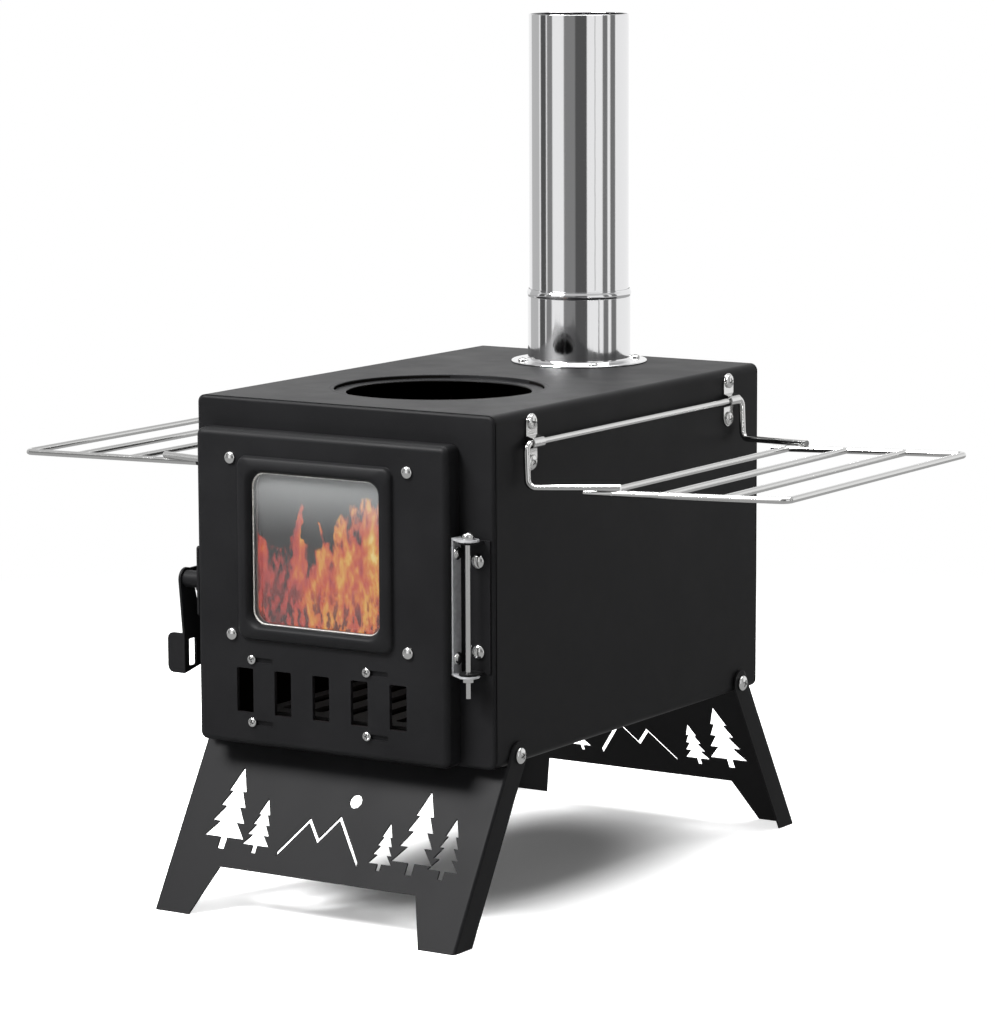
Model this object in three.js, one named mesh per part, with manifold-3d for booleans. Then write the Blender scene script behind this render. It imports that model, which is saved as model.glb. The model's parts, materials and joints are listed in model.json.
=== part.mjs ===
// A folding tent stove: a sheet-steel firebox with a glazed door, an air damper, a lever latch,
// two folding wire racks, two folding leg panels, a fire grate and a lift-off chimney pipe.
// Millimetres. +Z is up, the door faces -Y and the hinge is on the +X side.
// The origin lies on the ground, midway between the four feet.
import * as THREE from "three";
import { mergeVertices } from "three/addons/utils/BufferGeometryUtils.js";
import Module from "manifold-3d";

// ---------------------------------------------------------------- driving dimensions

// Clearances shared by the whole stove
const seatGap = 0.3; // between pieces that rest on each other but are separate
const holeClearance = 0.4; // added to a shank's radius where it passes a sheet

// Firebox
const bodyWidth = 266;
const bodyDepth = 394;
const bodyHeight = 262;
const groundClearance = 125;
const sheet = 1.5; // steel sheet of the body, door and legs
const bodyEdgeRadius = 6; // bend between the top, the sides and the bottom
const endPlateLap = 7; // rim of each end plate that slides inside the body

// Cooking hole
const cookHoleRadius = 71;
const cookHoleLedge = 9; // flat ring, pressed down, that a lid rests on
const cookHoleRecess = 3;
const cookHoleSetback = 131; // from the front of the body to the hole's centre

// Chimney pipe and its collar
const pipeRadius = 40;
const pipeWall = 1;
const pipeLength = 278;
const pipeRearInset = 57; // from the rear of the body to the pipe's centre
const pipeLedge = 3; // of the top sheet inside the pipe, which stands on it
const collarWall = 1;
const collarHeight = 59;
const collarFlangeWidth = 13.3;
const flueScrewInset = 8.1; // of the screws from the flange's edge

// Door
const doorLatchMargin = 10; // of the body's front left free beside the door, latch side
const doorHingeMargin = 30;
const doorTopMargin = 22.5;
const doorDepth = 16.5;
const doorBendRadius = 5;
const doorCornerRadius = 6;
const doorRise = 0.5; // of the door's lower edge above the body's underside
const doorGap = 0.6; // between the door's rear edge and the body
const doorOpeningLap = 3; // of the front plate inside the rope seal
const sealWidth = 6.5;
const sealSideGap = 0.1; // of the rope seal from the inside of the door's bend

// Window in the door
const windowLatchMargin = 51.5; // of the door's face beside the window, latch side
const windowHingeMargin = 59;
const windowTopMargin = 30.5;
const windowBottomMargin = 93.5;
const glassOpeningRadius = 11;
const glassLap = 10; // of the glass behind the edge of its opening
const glassThickness = 4;
const gasketThickness = 1;
const beadWidth = 12; // raised moulding round the window
const beadHeight = 5;
const beadRound = 2.5;
const windowBoltOutLatch = 19; // of the bolts outside the opening, latch side
const windowBoltOutHinge = 24.5;
const windowBoltOutZ = 9.5;
const windowFrameMargin = 9; // of the retaining frame outside its bolts
const windowFrameRadius = 4;

// Air slots and damper
const airSlotCount = 5;
const airSlotWidth = 15;
const airSlotHeight = 34;
const airSlotPitch = 34.6;
const airSlotRound = 1;
const airSlotRise = 42; // of the slots' centre above the door's lower edge
const damperTravel = 17;
const damperScrewSpanX = 104;
const damperScrewSpanZ = 48;
const damperScrewShift = -10.5; // of the screws, at rest, from the slots' centre
const damperEdge = 4; // of the damper beyond its screws and slots

// Hinge
const hingeOut = 15; // of the hinge bolt from the door's right edge
const hingeForward = 12.4; // of the hinge bolt in front of the body
const hingeRise = 1.5; // of the hinge's middle above the door's middle
const hingeHeight = 102;
const hingePlate = 1.5;
const doorEarRadius = 8.5;
const bodyEarRadius = 7;
const doorHingeWeb = 11; // depth of the plate riveted to the door's edge
const bodyHingeLeafWidth = 20;

// Latch
const latchArmPlate = 2;
const latchOut = 6; // of the lever's inner face from the body's side
const latchPivotForward = 8; // of the pivot in front of the body
const latchHubRadius = 8.5;
const latchArmLength = 73; // from the pivot to the lever's lower end
const latchGripHeight = 31;
const latchGripWidth = 16; // of the tab that the hand pulls
const latchGripDepth = 24; // of the arm's lower end, front to rear
const latchGripSlope = 4; // of the corner cut off the arm's lower end
const latchGripRound = 5;
const latchFingerWall = 4; // of metal round the notch
const latchSlotInset = 6; // of the slot from the arm's front edge
const latchSlotWidth = 9;
const latchSlotMargin = 5; // of the slot from the grip's upper and lower edge
const latchReach = 21; // from the pivot to the notch that catches the keeper
const latchThrow = 25; // degrees that the lever turns to catch the keeper
const latchNotchGap = 0.8; // of the notch round the keeper's pin
const latchBossRadius = 6.5;
const keeperRadius = 3;

// Leg panels
const legSplay = 30.5; // degrees from upright
const legPivotInset = 29.5; // from the end of the body to the pivot
const legPivotRise = 7; // of the pivot above the body's underside
const legFlange = 21; // depth of the bent side flange, which the pivot halves
const legSideGap = 1; // between the flange and the side of the body
const legBendRadius = 2.5;
const footCutHeight = 40.5; // of the cut-out between the feet, along the panel
const footWidth = 31.8; // on the ground
const footRootWidth = 47; // at the top of the cut-out

// Wire racks
const wireRadius = 2.5;
const rackPivotDrop = 24; // of the pivot rod below the top of the body
const rackPivotOut = 4.9; // of the pivot rod's axis from the side of the body
const rackEndInset = 36; // of each bent-down arm from the end of the body
const rackArmDrop = 32;
const rackArmReach = 68; // from the pivot rod to the end of each arm's foot
const rackRailInset = 19; // of each rail from the arm
const rackRailStart = 37; // from the pivot rod to the inner end of each rail
const rackFirstWire = 51; // from the pivot rod to the first cross wire
const rackWirePitch = 51.5;
const rackWireCount = 3; // cross wires between the pivot and the outer rail
const rackBendRadius = 6;
const rightRackTilt = 2.2; // degrees that the outer edge stands above level at rest
const leftRackTilt = -1.2;

// Rack clips
const clipInset = 14; // of each clip from the rack's arm
const clipWidth = 15;
const clipHeight = 42;
const clipPlate = 1.2;
const clipScrewSpan = 29.6;

// Fire grate
const grateSideGap = 39; // between the grate and the body, outside to outside
const grateEndGap = 22;
const grateHeight = 18;
const grateSheet = 2.5;
const grateSlotWidth = 12;
const grateSlotPitch = 26;
const grateRib = 14; // solid strip across the middle and at the ends

// Fasteners: shank radius, head radius, head height and the shank's length behind what it holds
const windowBolt = { shank: 2.5, head: 4.75, rise: 3, tail: 3 };
const damperScrew = { shank: 1.5, head: 3.7, rise: 2.1, tail: 2 };
const clipScrew = { shank: 2.5, head: 5.5, rise: 2.8, tail: 4 };
const flueScrew = { shank: 2, head: 4, rise: 2.4, tail: 4 };
const legBolt = { shank: 3, head: 6.2, rise: 3.4, tail: 4 };
const latchBolt = { shank: 2.5, head: 5.5, rise: 2.8, tail: 5 };
const doorRivet = { shank: 2, head: 5, rise: 2.8, tail: 1 };
const bodyRivet = { shank: 2.4, head: 5.4, rise: 3, tail: 2 };
const latchRivet = { shank: 2, head: 3.6, rise: 2.4, tail: 1 };
const hingeBolt = { shank: 2, head: 4.6, rise: 5.4, tail: 12 };
const keeperTail = 4; // of the keeper's pin inside the body
const hingeNutWidth = 7.6;
const hingeNutHeight = 3.2;

// Decoration cut through the leg panels: [offset along the panel, height] of each pine
const pines = [
  [-93, 66],
  [-63, 44],
  [50, 38],
  [77, 66],
  [105, 48],
];
const pineFoot = 14; // of each pine's foot above the cut-out between the feet
const pineTiers = 4;
const ridgeHeight = 34;
const ridgeStroke = 4;
const sunRadius = 5.5;

// Facets
const roundSteps = 40;
const pipeSteps = 40;
const shankSteps = 10;
const domeSteps = 3;
const wireSteps = 8;
const cornerSteps = 3;

// ---------------------------------------------------------------- derived places

const sideX = bodyWidth / 2;
const frontY = -bodyDepth / 2;
const rearY = bodyDepth / 2;
const bottomZ = groundClearance;
const topZ = groundClearance + bodyHeight;
const cookHoleY = frontY + cookHoleSetback;
const recessRadius = cookHoleRadius + cookHoleLedge;

const pipeY = rearY - pipeRearInset;
const flueHoleRadius = pipeRadius - pipeLedge;
const collarBore = pipeRadius + seatGap;
const collarFlangeRadius = collarBore + collarWall + collarFlangeWidth;
const flueScrewCircle = collarFlangeRadius - flueScrewInset;

const doorLeftX = -sideX + doorLatchMargin;
const doorRightX = sideX - doorHingeMargin;
const doorWidth = doorRightX - doorLeftX;
const doorX = (doorLeftX + doorRightX) / 2;
const doorBackY = frontY - doorGap;
const doorFaceY = doorBackY - doorDepth;
const doorInnerY = doorFaceY + sheet;
const doorBottomZ = bottomZ + doorRise;
const doorTopZ = topZ - doorTopMargin;
const doorHeight = doorTopZ - doorBottomZ;
const doorCentreZ = (doorBottomZ + doorTopZ) / 2;
const glassOpeningWidth = doorWidth - windowLatchMargin - windowHingeMargin;
const glassOpeningHeight = doorHeight - windowTopMargin - windowBottomMargin;
const windowX = doorLeftX + windowLatchMargin + glassOpeningWidth / 2;
const windowZ = doorBottomZ + windowBottomMargin + glassOpeningHeight / 2;
const windowBoltSpanX = glassOpeningWidth + windowBoltOutLatch + windowBoltOutHinge;
const windowBoltMiddle = windowX + (windowBoltOutHinge - windowBoltOutLatch) / 2;
const windowBoltSpanZ = glassOpeningHeight + 2 * windowBoltOutZ;
const airSlotZ = doorBottomZ + airSlotRise;

const hingeX = doorRightX + hingeOut;
const hingeY = frontY - hingeForward;
const hingeZ = doorCentreZ + hingeRise;
const latchZ = hingeZ;
const latchY = frontY - latchPivotForward;
const latchInnerX = -sideX - latchOut;
const latchOuterX = latchInnerX - latchArmPlate;

const legPivotY = frontY + legPivotInset;
const legPivotZ = bottomZ + legPivotRise;
const flangeInnerX = sideX + legSideGap;
const flangeOuterX = flangeInnerX + sheet;

const rackPivotX = sideX + rackPivotOut;
const rackPivotZ = topZ - rackPivotDrop;
const rackArmSpan = bodyDepth - 2 * rackEndInset;
const rackRailSpan = rackArmSpan - 2 * rackRailInset;
const clipSpan = rackArmSpan - 2 * clipInset;

const grateWidth = bodyWidth - 2 * grateSideGap;
const grateLength = bodyDepth - 2 * grateEndGap;

// ---------------------------------------------------------------- materials

function finish(color, roughness, metalness) {
  return new THREE.MeshStandardMaterial({ color, roughness, metalness });
}

const blackPaint = () => finish(0x26262a, 0.6, 0.3);
const stainless = () => finish(0xc9cbcd, 0.18, 1);
const platedSteel = () => finish(0xb9bbbd, 0.3, 1);
const zincSteel = () => finish(0x8b8d90, 0.45, 1);
const ceramicGlass = () => {
  const glass = finish(0x8c8f90, 0.08, 0);
  glass.transparent = true;
  glass.opacity = 0.35;
  return glass;
};
const glassRope = () => finish(0xb7b2a6, 0.95, 0);
const castIron = () => finish(0x2e2c2b, 0.8, 0.6);

// ---------------------------------------------------------------- solids

const wasm = await Module();
wasm.setup();

// A closed geometry as a solid, with its shared vertices merged and its faces turned outwards.
function solid(geometry) {
  const bare = new THREE.BufferGeometry();
  bare.setAttribute("position", geometry.getAttribute("position").clone());
  if (geometry.index) bare.setIndex(geometry.index.clone());
  const merged = mergeVertices(bare, 1e-4);
  const at = merged.attributes.position;
  const corners = merged.index.array;
  const triangles = [];
  const [a, b, c] = [new THREE.Vector3(), new THREE.Vector3(), new THREE.Vector3()];
  let volume = 0;
  for (let i = 0; i < corners.length; i += 3) {
    const [p, q, r] = [corners[i], corners[i + 1], corners[i + 2]];
    if (p === q || q === r || r === p) continue;
    triangles.push(p, q, r);
    [a, b, c].forEach((corner, k) => corner.fromBufferAttribute(at, corners[i + k]));
    volume += a.dot(b.cross(c));
  }
  if (volume < 0) triangles.reverse();
  return new wasm.Manifold(
    new wasm.Mesh({
      numProp: 3,
      vertProperties: new Float32Array(at.array),
      triVerts: new Uint32Array(triangles),
    }),
  );
}

function cut(body, ...tools) {
  return tools.reduce((left, tool) => left.subtract(tool), body);
}

function join(first, ...others) {
  return others.reduce((whole, piece) => whole.add(piece), first);
}

// A solid as a geometry that a mesh can hold.
function geometryOf(body) {
  const mesh = body.getMesh();
  const geometry = new THREE.BufferGeometry();
  geometry.setAttribute("position", new THREE.BufferAttribute(new Float32Array(mesh.vertProperties), 3));
  geometry.setIndex(new THREE.BufferAttribute(new Uint32Array(mesh.triVerts), 1));
  geometry.computeVertexNormals();
  return geometry;
}

// A box between two corners.
function block(low, high) {
  const size = high.map((value, i) => value - low[i]);
  const geometry = new THREE.BoxGeometry(...size);
  return solid(geometry.translate(...low.map((value, i) => value + size[i] / 2)));
}

// A cylinder whose axis runs along X, Y or Z between two places.
function rod(axis, radius, from, to, [u, v], steps = shankSteps) {
  const geometry = new THREE.CylinderGeometry(radius, radius, to - from, steps);
  if (axis === "x") geometry.rotateZ(Math.PI / 2).translate((from + to) / 2, u, v);
  if (axis === "y") geometry.translate(u, (from + to) / 2, v);
  if (axis === "z") geometry.rotateX(Math.PI / 2).translate(u, v, (from + to) / 2);
  return solid(geometry);
}

// A solid turned about Z. Each profile point is [radius, height], and the profile closes on itself
// or starts and ends on the axis.
function turned(profile, steps) {
  const points = profile.map(([radius, height]) => new THREE.Vector2(radius, height));
  return solid(new THREE.LatheGeometry(points, steps).rotateX(Math.PI / 2));
}

function ring(inner, outer, low, high, steps) {
  return turned([[inner, low], [outer, low], [outer, high], [inner, high], [inner, low]], steps);
}

// Points of an arc, ends included, with its angles in degrees.
function arc(x, y, radius, from, to, steps) {
  return Array.from({ length: steps + 1 }, (_, i) => {
    const angle = THREE.MathUtils.degToRad(from + ((to - from) * i) / steps);
    return new THREE.Vector2(x + radius * Math.cos(angle), y + radius * Math.sin(angle));
  });
}

function roundedRectangle(width, height, radius, x = 0, y = 0) {
  const [w, h] = [width / 2 - radius, height / 2 - radius];
  return [
    ...arc(x + w, y + h, radius, 0, 90, cornerSteps),
    ...arc(x - w, y + h, radius, 90, 180, cornerSteps),
    ...arc(x - w, y - h, radius, 180, 270, cornerSteps),
    ...arc(x + w, y - h, radius, 270, 360, cornerSteps),
  ];
}

const circle = (x, y, radius, steps = shankSteps) => arc(x, y, radius, 0, 360, steps).slice(0, -1);

// A sheet of the given outline and holes, drawn in the plane across `axis` and extruded along it.
// Across X the outline's coordinates are (y, z), across Y (x, z) and across Z (x, y).
function slab(axis, outline, from, to, holes = [], bevel = 0) {
  const shape = new THREE.Shape(outline);
  shape.holes = holes.map((points) => new THREE.Path(points));
  const geometry = new THREE.ExtrudeGeometry(shape, {
    depth: to - from - 2 * bevel,
    bevelEnabled: bevel > 0,
    bevelThickness: bevel,
    bevelSize: bevel,
    bevelOffset: -bevel,
    bevelSegments: cornerSteps - 1,
  });
  geometry.translate(0, 0, from + bevel);
  const [x, y, z] = [new THREE.Vector3(1, 0, 0), new THREE.Vector3(0, 1, 0), new THREE.Vector3(0, 0, 1)];
  const turn = new THREE.Matrix4();
  if (axis === "x") turn.makeBasis(y, z, x);
  if (axis === "y") turn.makeBasis(x, z, y);
  return solid(geometry.applyMatrix4(turn));
}

// A round wire along a route of straight runs whose corners are bent to a radius.
function wire(route, bendRadius) {
  const path = new THREE.CurvePath();
  const points = route.map((point) => new THREE.Vector3(...point));
  let last = points[0];
  for (let i = 1; i < points.length - 1; i += 1) {
    const into = points[i].clone().sub(points[i - 1]).normalize();
    const out = points[i + 1].clone().sub(points[i]).normalize();
    const setback = bendRadius * Math.tan(into.angleTo(out) / 2);
    const start = points[i].clone().addScaledVector(into, -setback);
    const end = points[i].clone().addScaledVector(out, setback);
    path.add(new THREE.LineCurve3(last, start));
    path.add(new THREE.QuadraticBezierCurve3(start, points[i], end));
    last = end;
  }
  path.add(new THREE.LineCurve3(last, points.at(-1)));
  return tubeAlong(path);
}

// The path's own corners and ends give the tube's rings, so that straight runs stay plain.
function tubeAlong(path) {
  const stations = [];
  path.curves.forEach((curve, i) => {
    const pieces = curve.isLineCurve3 ? 1 : cornerSteps;
    for (let k = i === 0 ? 0 : 1; k <= pieces; k += 1) stations.push(curve.getPoint(k / pieces));
  });
  const section = new THREE.Shape(circle(0, 0, wireRadius, wireSteps));
  const stepped = new THREE.CurvePath();
  for (let i = 1; i < stations.length; i += 1) {
    stepped.add(new THREE.LineCurve3(stations[i - 1], stations[i]));
  }
  const lengths = stepped.getCurveLengths();
  const total = lengths.at(-1);
  const places = [0, ...lengths.map((length) => length / total)];
  stepped.getPointAt = stepped.getPoint;
  stepped.getSpacedPoints = () => stations;
  stepped.getTangentAt = (u) => {
    const distances = places.map((place) => Math.abs(place - u));
    const nearest = distances.indexOf(Math.min(...distances));
    const before = stations[Math.max(nearest - 1, 0)];
    const after = stations[Math.min(nearest + 1, stations.length - 1)];
    return after.clone().sub(before).normalize();
  };
  return solid(new THREE.ExtrudeGeometry(section, { steps: stations.length - 1, extrudePath: stepped }));
}

// ---------------------------------------------------------------- the scene

const stove = new THREE.Group();

function piece(name, body, material, parent = stove) {
  const mesh = new THREE.Mesh(geometryOf(body), material);
  mesh.name = name;
  parent.add(mesh);
  return mesh;
}

// Fasteners are made standing on Z with the seat under the head at 0, and then turned to face.
function domeProfile({ head, rise }) {
  const dome = Array.from({ length: domeSteps + 1 }, (_, i) => {
    const angle = (i / domeSteps) * (Math.PI / 2);
    return [head * Math.cos(angle), rise * (0.25 + 0.75 * Math.sin(angle))];
  });
  dome[domeSteps][0] = 0;
  return dome;
}

function fastenerBody(kind, grip) {
  const length = grip + kind.tail;
  return turned(
    [[0, -length], [kind.shank, -length], [kind.shank, 0], [kind.head, 0], ...domeProfile(kind)],
    shankSteps,
  );
}

const facing = {
  front: [Math.PI / 2, 0, 0],
  right: [0, Math.PI / 2, 0],
  left: [0, -Math.PI / 2, 0],
  top: [0, 0, 0],
};

function fastener(name, kind, grip, at, side, material) {
  const mesh = piece(name, fastenerBody(kind, grip), material);
  mesh.position.set(...at);
  mesh.rotation.set(...facing[side]);
  return mesh;
}

// ---------------------------------------------------------------- shared patterns

const mirrored = (span) => [-span / 2, span / 2];
const clipY = mirrored(clipSpan);
const clipScrewZ = mirrored(clipScrewSpan).map((offset) => rackPivotZ + offset);
const flueScrewPlaces = [45, 135, 225, 315].map((angle) => {
  const turn = THREE.MathUtils.degToRad(angle);
  return [flueScrewCircle * Math.cos(turn), pipeY + flueScrewCircle * Math.sin(turn)];
});
const windowBoltPlaces = mirrored(windowBoltSpanX).flatMap((x) =>
  mirrored(windowBoltSpanZ).map((z) => [windowBoltMiddle + x, windowZ + z]),
);
const damperScrewPlaces = mirrored(damperScrewSpanX).flatMap((x) =>
  mirrored(damperScrewSpanZ).map((z) => [doorX + damperScrewShift + x, airSlotZ + z]),
);
const airSlots = Array.from({ length: airSlotCount }, (_, i) => {
  const x = doorX + (i - (airSlotCount - 1) / 2) * airSlotPitch;
  return roundedRectangle(airSlotWidth, airSlotHeight, airSlotRound, x, airSlotZ);
});
const glassOpening = roundedRectangle(
  glassOpeningWidth,
  glassOpeningHeight,
  glassOpeningRadius,
  windowX,
  windowZ,
);
const bodyRivetX = hingeX + 2;
const hingeRivetOffset = 33.5; // of the body's rivets from the hinge's middle
const doorRivetOffset = 39;
const bodyRivetPlaces = [hingeRivetOffset, -hingeRivetOffset].map((offset) => [bodyRivetX, hingeZ + offset]);
const doorRivetY = doorBackY - doorHingeWeb / 2;
const doorRivetPlaces = [doorRivetOffset, -doorRivetOffset].map((offset) => [doorRivetY, hingeZ + offset]);

// The keeper's pin lies where the notch comes to when the lever is thrown.
const throwAngle = THREE.MathUtils.degToRad(latchThrow);
const keeperY = latchY + latchReach * Math.cos(throwAngle);
const keeperZ = latchZ - latchReach * Math.sin(throwAngle);

// ---------------------------------------------------------------- firebox

function bodyWrap() {
  const plateEnd = rearY - sheet;
  const outline = roundedRectangle(bodyWidth, bodyHeight, bodyEdgeRadius, 0, bottomZ + bodyHeight / 2);
  const hollow = roundedRectangle(
    bodyWidth - 2 * sheet,
    bodyHeight - 2 * sheet,
    bodyEdgeRadius - sheet,
    0,
    bottomZ + bodyHeight / 2,
  );
  const tube = slab("y", outline, -plateEnd, plateEnd, [hollow]);
  const lap = sheet - 0.5; // of the pressed ring's wall into the top sheet
  const pressedRing = turned(
    [
      [cookHoleRadius, -cookHoleRecess - sheet],
      [recessRadius + sheet, -cookHoleRecess - sheet],
      [recessRadius + sheet, -lap],
      [recessRadius, -lap],
      [recessRadius, -cookHoleRecess],
      [cookHoleRadius, -cookHoleRecess],
      [cookHoleRadius, -cookHoleRecess - sheet],
    ],
    roundSteps,
  ).translate([0, cookHoleY, topZ]);
  const through = [topZ - 2 * sheet, topZ + 1];
  const holes = [
    rod("z", recessRadius, ...through, [0, cookHoleY], roundSteps),
    rod("z", flueHoleRadius, ...through, [0, pipeY], pipeSteps),
    ...flueScrewPlaces.map((place) => rod("z", flueScrew.shank + holeClearance, ...through, place)),
    rod("x", keeperRadius + holeClearance, -sideX - 1, -sideX + 2 * sheet, [keeperY, keeperZ]),
  ];
  for (const side of [-1, 1]) {
    const across = [side * sideX - 2 * sheet, side * sideX + 2 * sheet];
    for (const y of clipY) {
      for (const z of clipScrewZ) {
        holes.push(rod("x", clipScrew.shank + holeClearance, ...across, [y, z]));
      }
    }
    for (const y of [legPivotY, -legPivotY]) {
      holes.push(rod("x", legBolt.shank + holeClearance, ...across, [y, legPivotZ]));
    }
  }
  return join(cut(tube, ...holes), pressedRing);
}

// An end plate closes one end of the body: a face, and a rim that slides inside the body.
function endPlate(from, to, rimFrom, rimTo, holes) {
  const centreZ = bottomZ + bodyHeight / 2;
  const outline = roundedRectangle(bodyWidth, bodyHeight, bodyEdgeRadius, 0, centreZ);
  const face = slab("y", outline, from, to, holes);
  const margin = 2 * (sheet + seatGap);
  const rimOuter = roundedRectangle(
    bodyWidth - margin,
    bodyHeight - margin,
    bodyEdgeRadius - sheet - seatGap,
    0,
    centreZ,
  );
  const inner = margin + 2 * sheet;
  const rimInner = roundedRectangle(
    bodyWidth - inner,
    bodyHeight - inner,
    bodyEdgeRadius - 2 * sheet - seatGap,
    0,
    centreZ,
  );
  return join(face, slab("y", rimOuter, rimFrom, rimTo, [rimInner]));
}

const sealInset = doorBendRadius + sealSideGap; // of the rope seal from the outside of the door
const openingInset = sealInset + sealWidth + doorOpeningLap;
const doorOpening = roundedRectangle(
  doorWidth - 2 * openingInset,
  doorHeight - 2 * openingInset,
  doorCornerRadius,
  doorX,
  doorCentreZ,
);
const frontHoles = [
  doorOpening,
  ...bodyRivetPlaces.map(([x, z]) => circle(x, z, bodyRivet.shank + holeClearance)),
];

const frontPlate = endPlate(frontY, frontY + sheet, frontY + 1, frontY + endPlateLap, frontHoles);
const backPlate = endPlate(rearY - sheet, rearY, rearY - endPlateLap, rearY - 1, []);
piece("body_wrap", bodyWrap(), blackPaint());
piece("front_plate", frontPlate, blackPaint());
piece("back_plate", backPlate, blackPaint());

// ---------------------------------------------------------------- chimney

function flueCollar() {
  const flange = ring(collarBore, collarFlangeRadius, 0, sheet, pipeSteps);
  const spigot = ring(collarBore, collarBore + collarWall, 0, collarHeight, pipeSteps);
  const collar = join(flange, spigot).translate([0, pipeY, topZ]);
  const holes = flueScrewPlaces.map((place) =>
    rod("z", flueScrew.shank + holeClearance, topZ - 1, topZ + 2 * sheet, place),
  );
  return cut(collar, ...holes);
}

piece("flue_collar", flueCollar(), stainless());
flueScrewPlaces.forEach(([x, y], i) => {
  fastener(`flue_screw_${i + 1}`, flueScrew, 2 * sheet, [x, y, topZ + sheet], "top", platedSteel());
});

const pipe = ring(pipeRadius - pipeWall, pipeRadius, 0, pipeLength, pipeSteps);
const pipeMesh = piece("chimney_pipe", pipe, stainless());
pipeMesh.position.set(0, pipeY, topZ);

// ---------------------------------------------------------------- racks and their clips

// Drawn for the right side, with the pivot rod along Y through the origin.
function rackFrame() {
  const footZ = -rackArmDrop;
  const railZ = footZ - 2 * wireRadius + 0.5; // rails and cross wires are welded under the arms' feet
  const outerX = rackFirstWire + rackWireCount * rackWirePitch;
  const arm = rackArmSpan / 2;
  const rail = rackRailSpan / 2;
  const pivotWire = wire(
    [
      [rackArmReach, -rail, footZ],
      [0, -arm, footZ],
      [0, -arm, 0],
      [0, arm, 0],
      [0, arm, footZ],
      [rackArmReach, rail, footZ],
    ],
    rackBendRadius,
  );
  const outerFrame = wire(
    [
      [rackRailStart, -rail, railZ],
      [outerX, -rail, railZ],
      [outerX, rail, railZ],
      [rackRailStart, rail, railZ],
    ],
    rackBendRadius,
  );
  const crossWires = Array.from({ length: rackWireCount }, (_, i) => {
    const x = rackFirstWire + i * rackWirePitch;
    return rod("y", wireRadius, -rail, rail, [x, railZ], wireSteps);
  });
  return join(pivotWire, outerFrame, ...crossWires);
}

function rack(name, side, tilt) {
  const frame = side > 0 ? rackFrame() : rackFrame().mirror([1, 0, 0]);
  const mesh = piece(name, frame, platedSteel());
  mesh.position.set(side * rackPivotX, 0, rackPivotZ);
  mesh.rotation.y = -side * THREE.MathUtils.degToRad(tilt);
}

rack("right_rack", 1, rightRackTilt);
rack("left_rack", -1, leftRackTilt);

// A saddle clip drawn against the plane X = 0 of the body's side, with the rod through it along Y.
function saddleClip() {
  const inner = wireRadius + seatGap;
  const outer = inner + clipPlate;
  const half = clipHeight / 2;
  const outline = [
    [0, half],
    [clipPlate, half],
    [clipPlate, outer],
  ].map(([x, z]) => new THREE.Vector2(x, z));
  outline.push(...arc(rackPivotOut, 0, outer, 90, -90, 2 * cornerSteps));
  outline.push(new THREE.Vector2(clipPlate, -outer), new THREE.Vector2(clipPlate, -half));
  outline.push(new THREE.Vector2(0, -half), new THREE.Vector2(0, -inner));
  outline.push(...arc(rackPivotOut, 0, inner, -90, 90, 2 * cornerSteps));
  outline.push(new THREE.Vector2(0, inner));
  const strap = slab("y", outline, -clipWidth / 2, clipWidth / 2);
  const reach = rackPivotOut + outer + 1;
  const rounding = slab("x", roundedRectangle(clipWidth, clipHeight, clipWidth / 2 - 0.01), -1, reach);
  const holes = mirrored(clipScrewSpan).map((z) =>
    rod("x", clipScrew.shank + holeClearance, -1, clipPlate + 1, [0, z]),
  );
  return cut(strap.intersect(rounding), ...holes);
}

for (const [sideName, side] of [["right", 1], ["left", -1]]) {
  const clip = side > 0 ? saddleClip() : saddleClip().mirror([1, 0, 0]);
  clipY.forEach((y, end) => {
    const place = `${sideName}_${end === 0 ? "front" : "rear"}`;
    const mesh = piece(`rack_clip_${place}`, clip, platedSteel());
    mesh.position.set(side * sideX, y, rackPivotZ);
    clipScrewZ.forEach((z, level) => {
      const at = [side * (sideX + clipPlate), y, z];
      const name = `rack_screw_${place}_${level === 0 ? "lower" : "upper"}`;
      fastener(name, clipScrew, sheet + clipPlate, at, sideName, platedSteel());
    });
  });
}

// ---------------------------------------------------------------- legs

// The outline of a pine with its foot at (x, y): a trunk and stacked, narrowing tiers.
function pineOutline(x, y, height) {
  const trunkHeight = height * 0.14;
  const trunkHalf = height * 0.045;
  const crown = height - trunkHeight;
  const right = [];
  for (let tier = 0; tier < pineTiers; tier += 1) {
    const low = y + trunkHeight + (crown * tier) / (pineTiers + 0.6);
    const spread = height * (0.27 - 0.05 * tier);
    right.push([spread, low]);
    if (tier < pineTiers - 1) right.push([spread * 0.42, low + crown / (pineTiers + 0.6)]);
  }
  const half = [[trunkHalf, y], [trunkHalf, y + trunkHeight], ...right];
  const left = half.map(([offset, level]) => [-offset, level]).reverse();
  return [...half, [0, y + height], ...left].map(([offset, level]) => new THREE.Vector2(x + offset, level));
}

// A ridge line with two peaks, cut as one bent stroke.
function ridgeOutline(y) {
  const line = [[-36, 0], [-15, 0.86], [-3, 0.42], [11, 1], [37, 0]];
  const upper = line.map(([x, share]) => new THREE.Vector2(x - 6, y + share * ridgeHeight));
  const lower = upper.map((point) => new THREE.Vector2(point.x, point.y - ridgeStroke)).reverse();
  return [...upper, ...lower];
}

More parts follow.
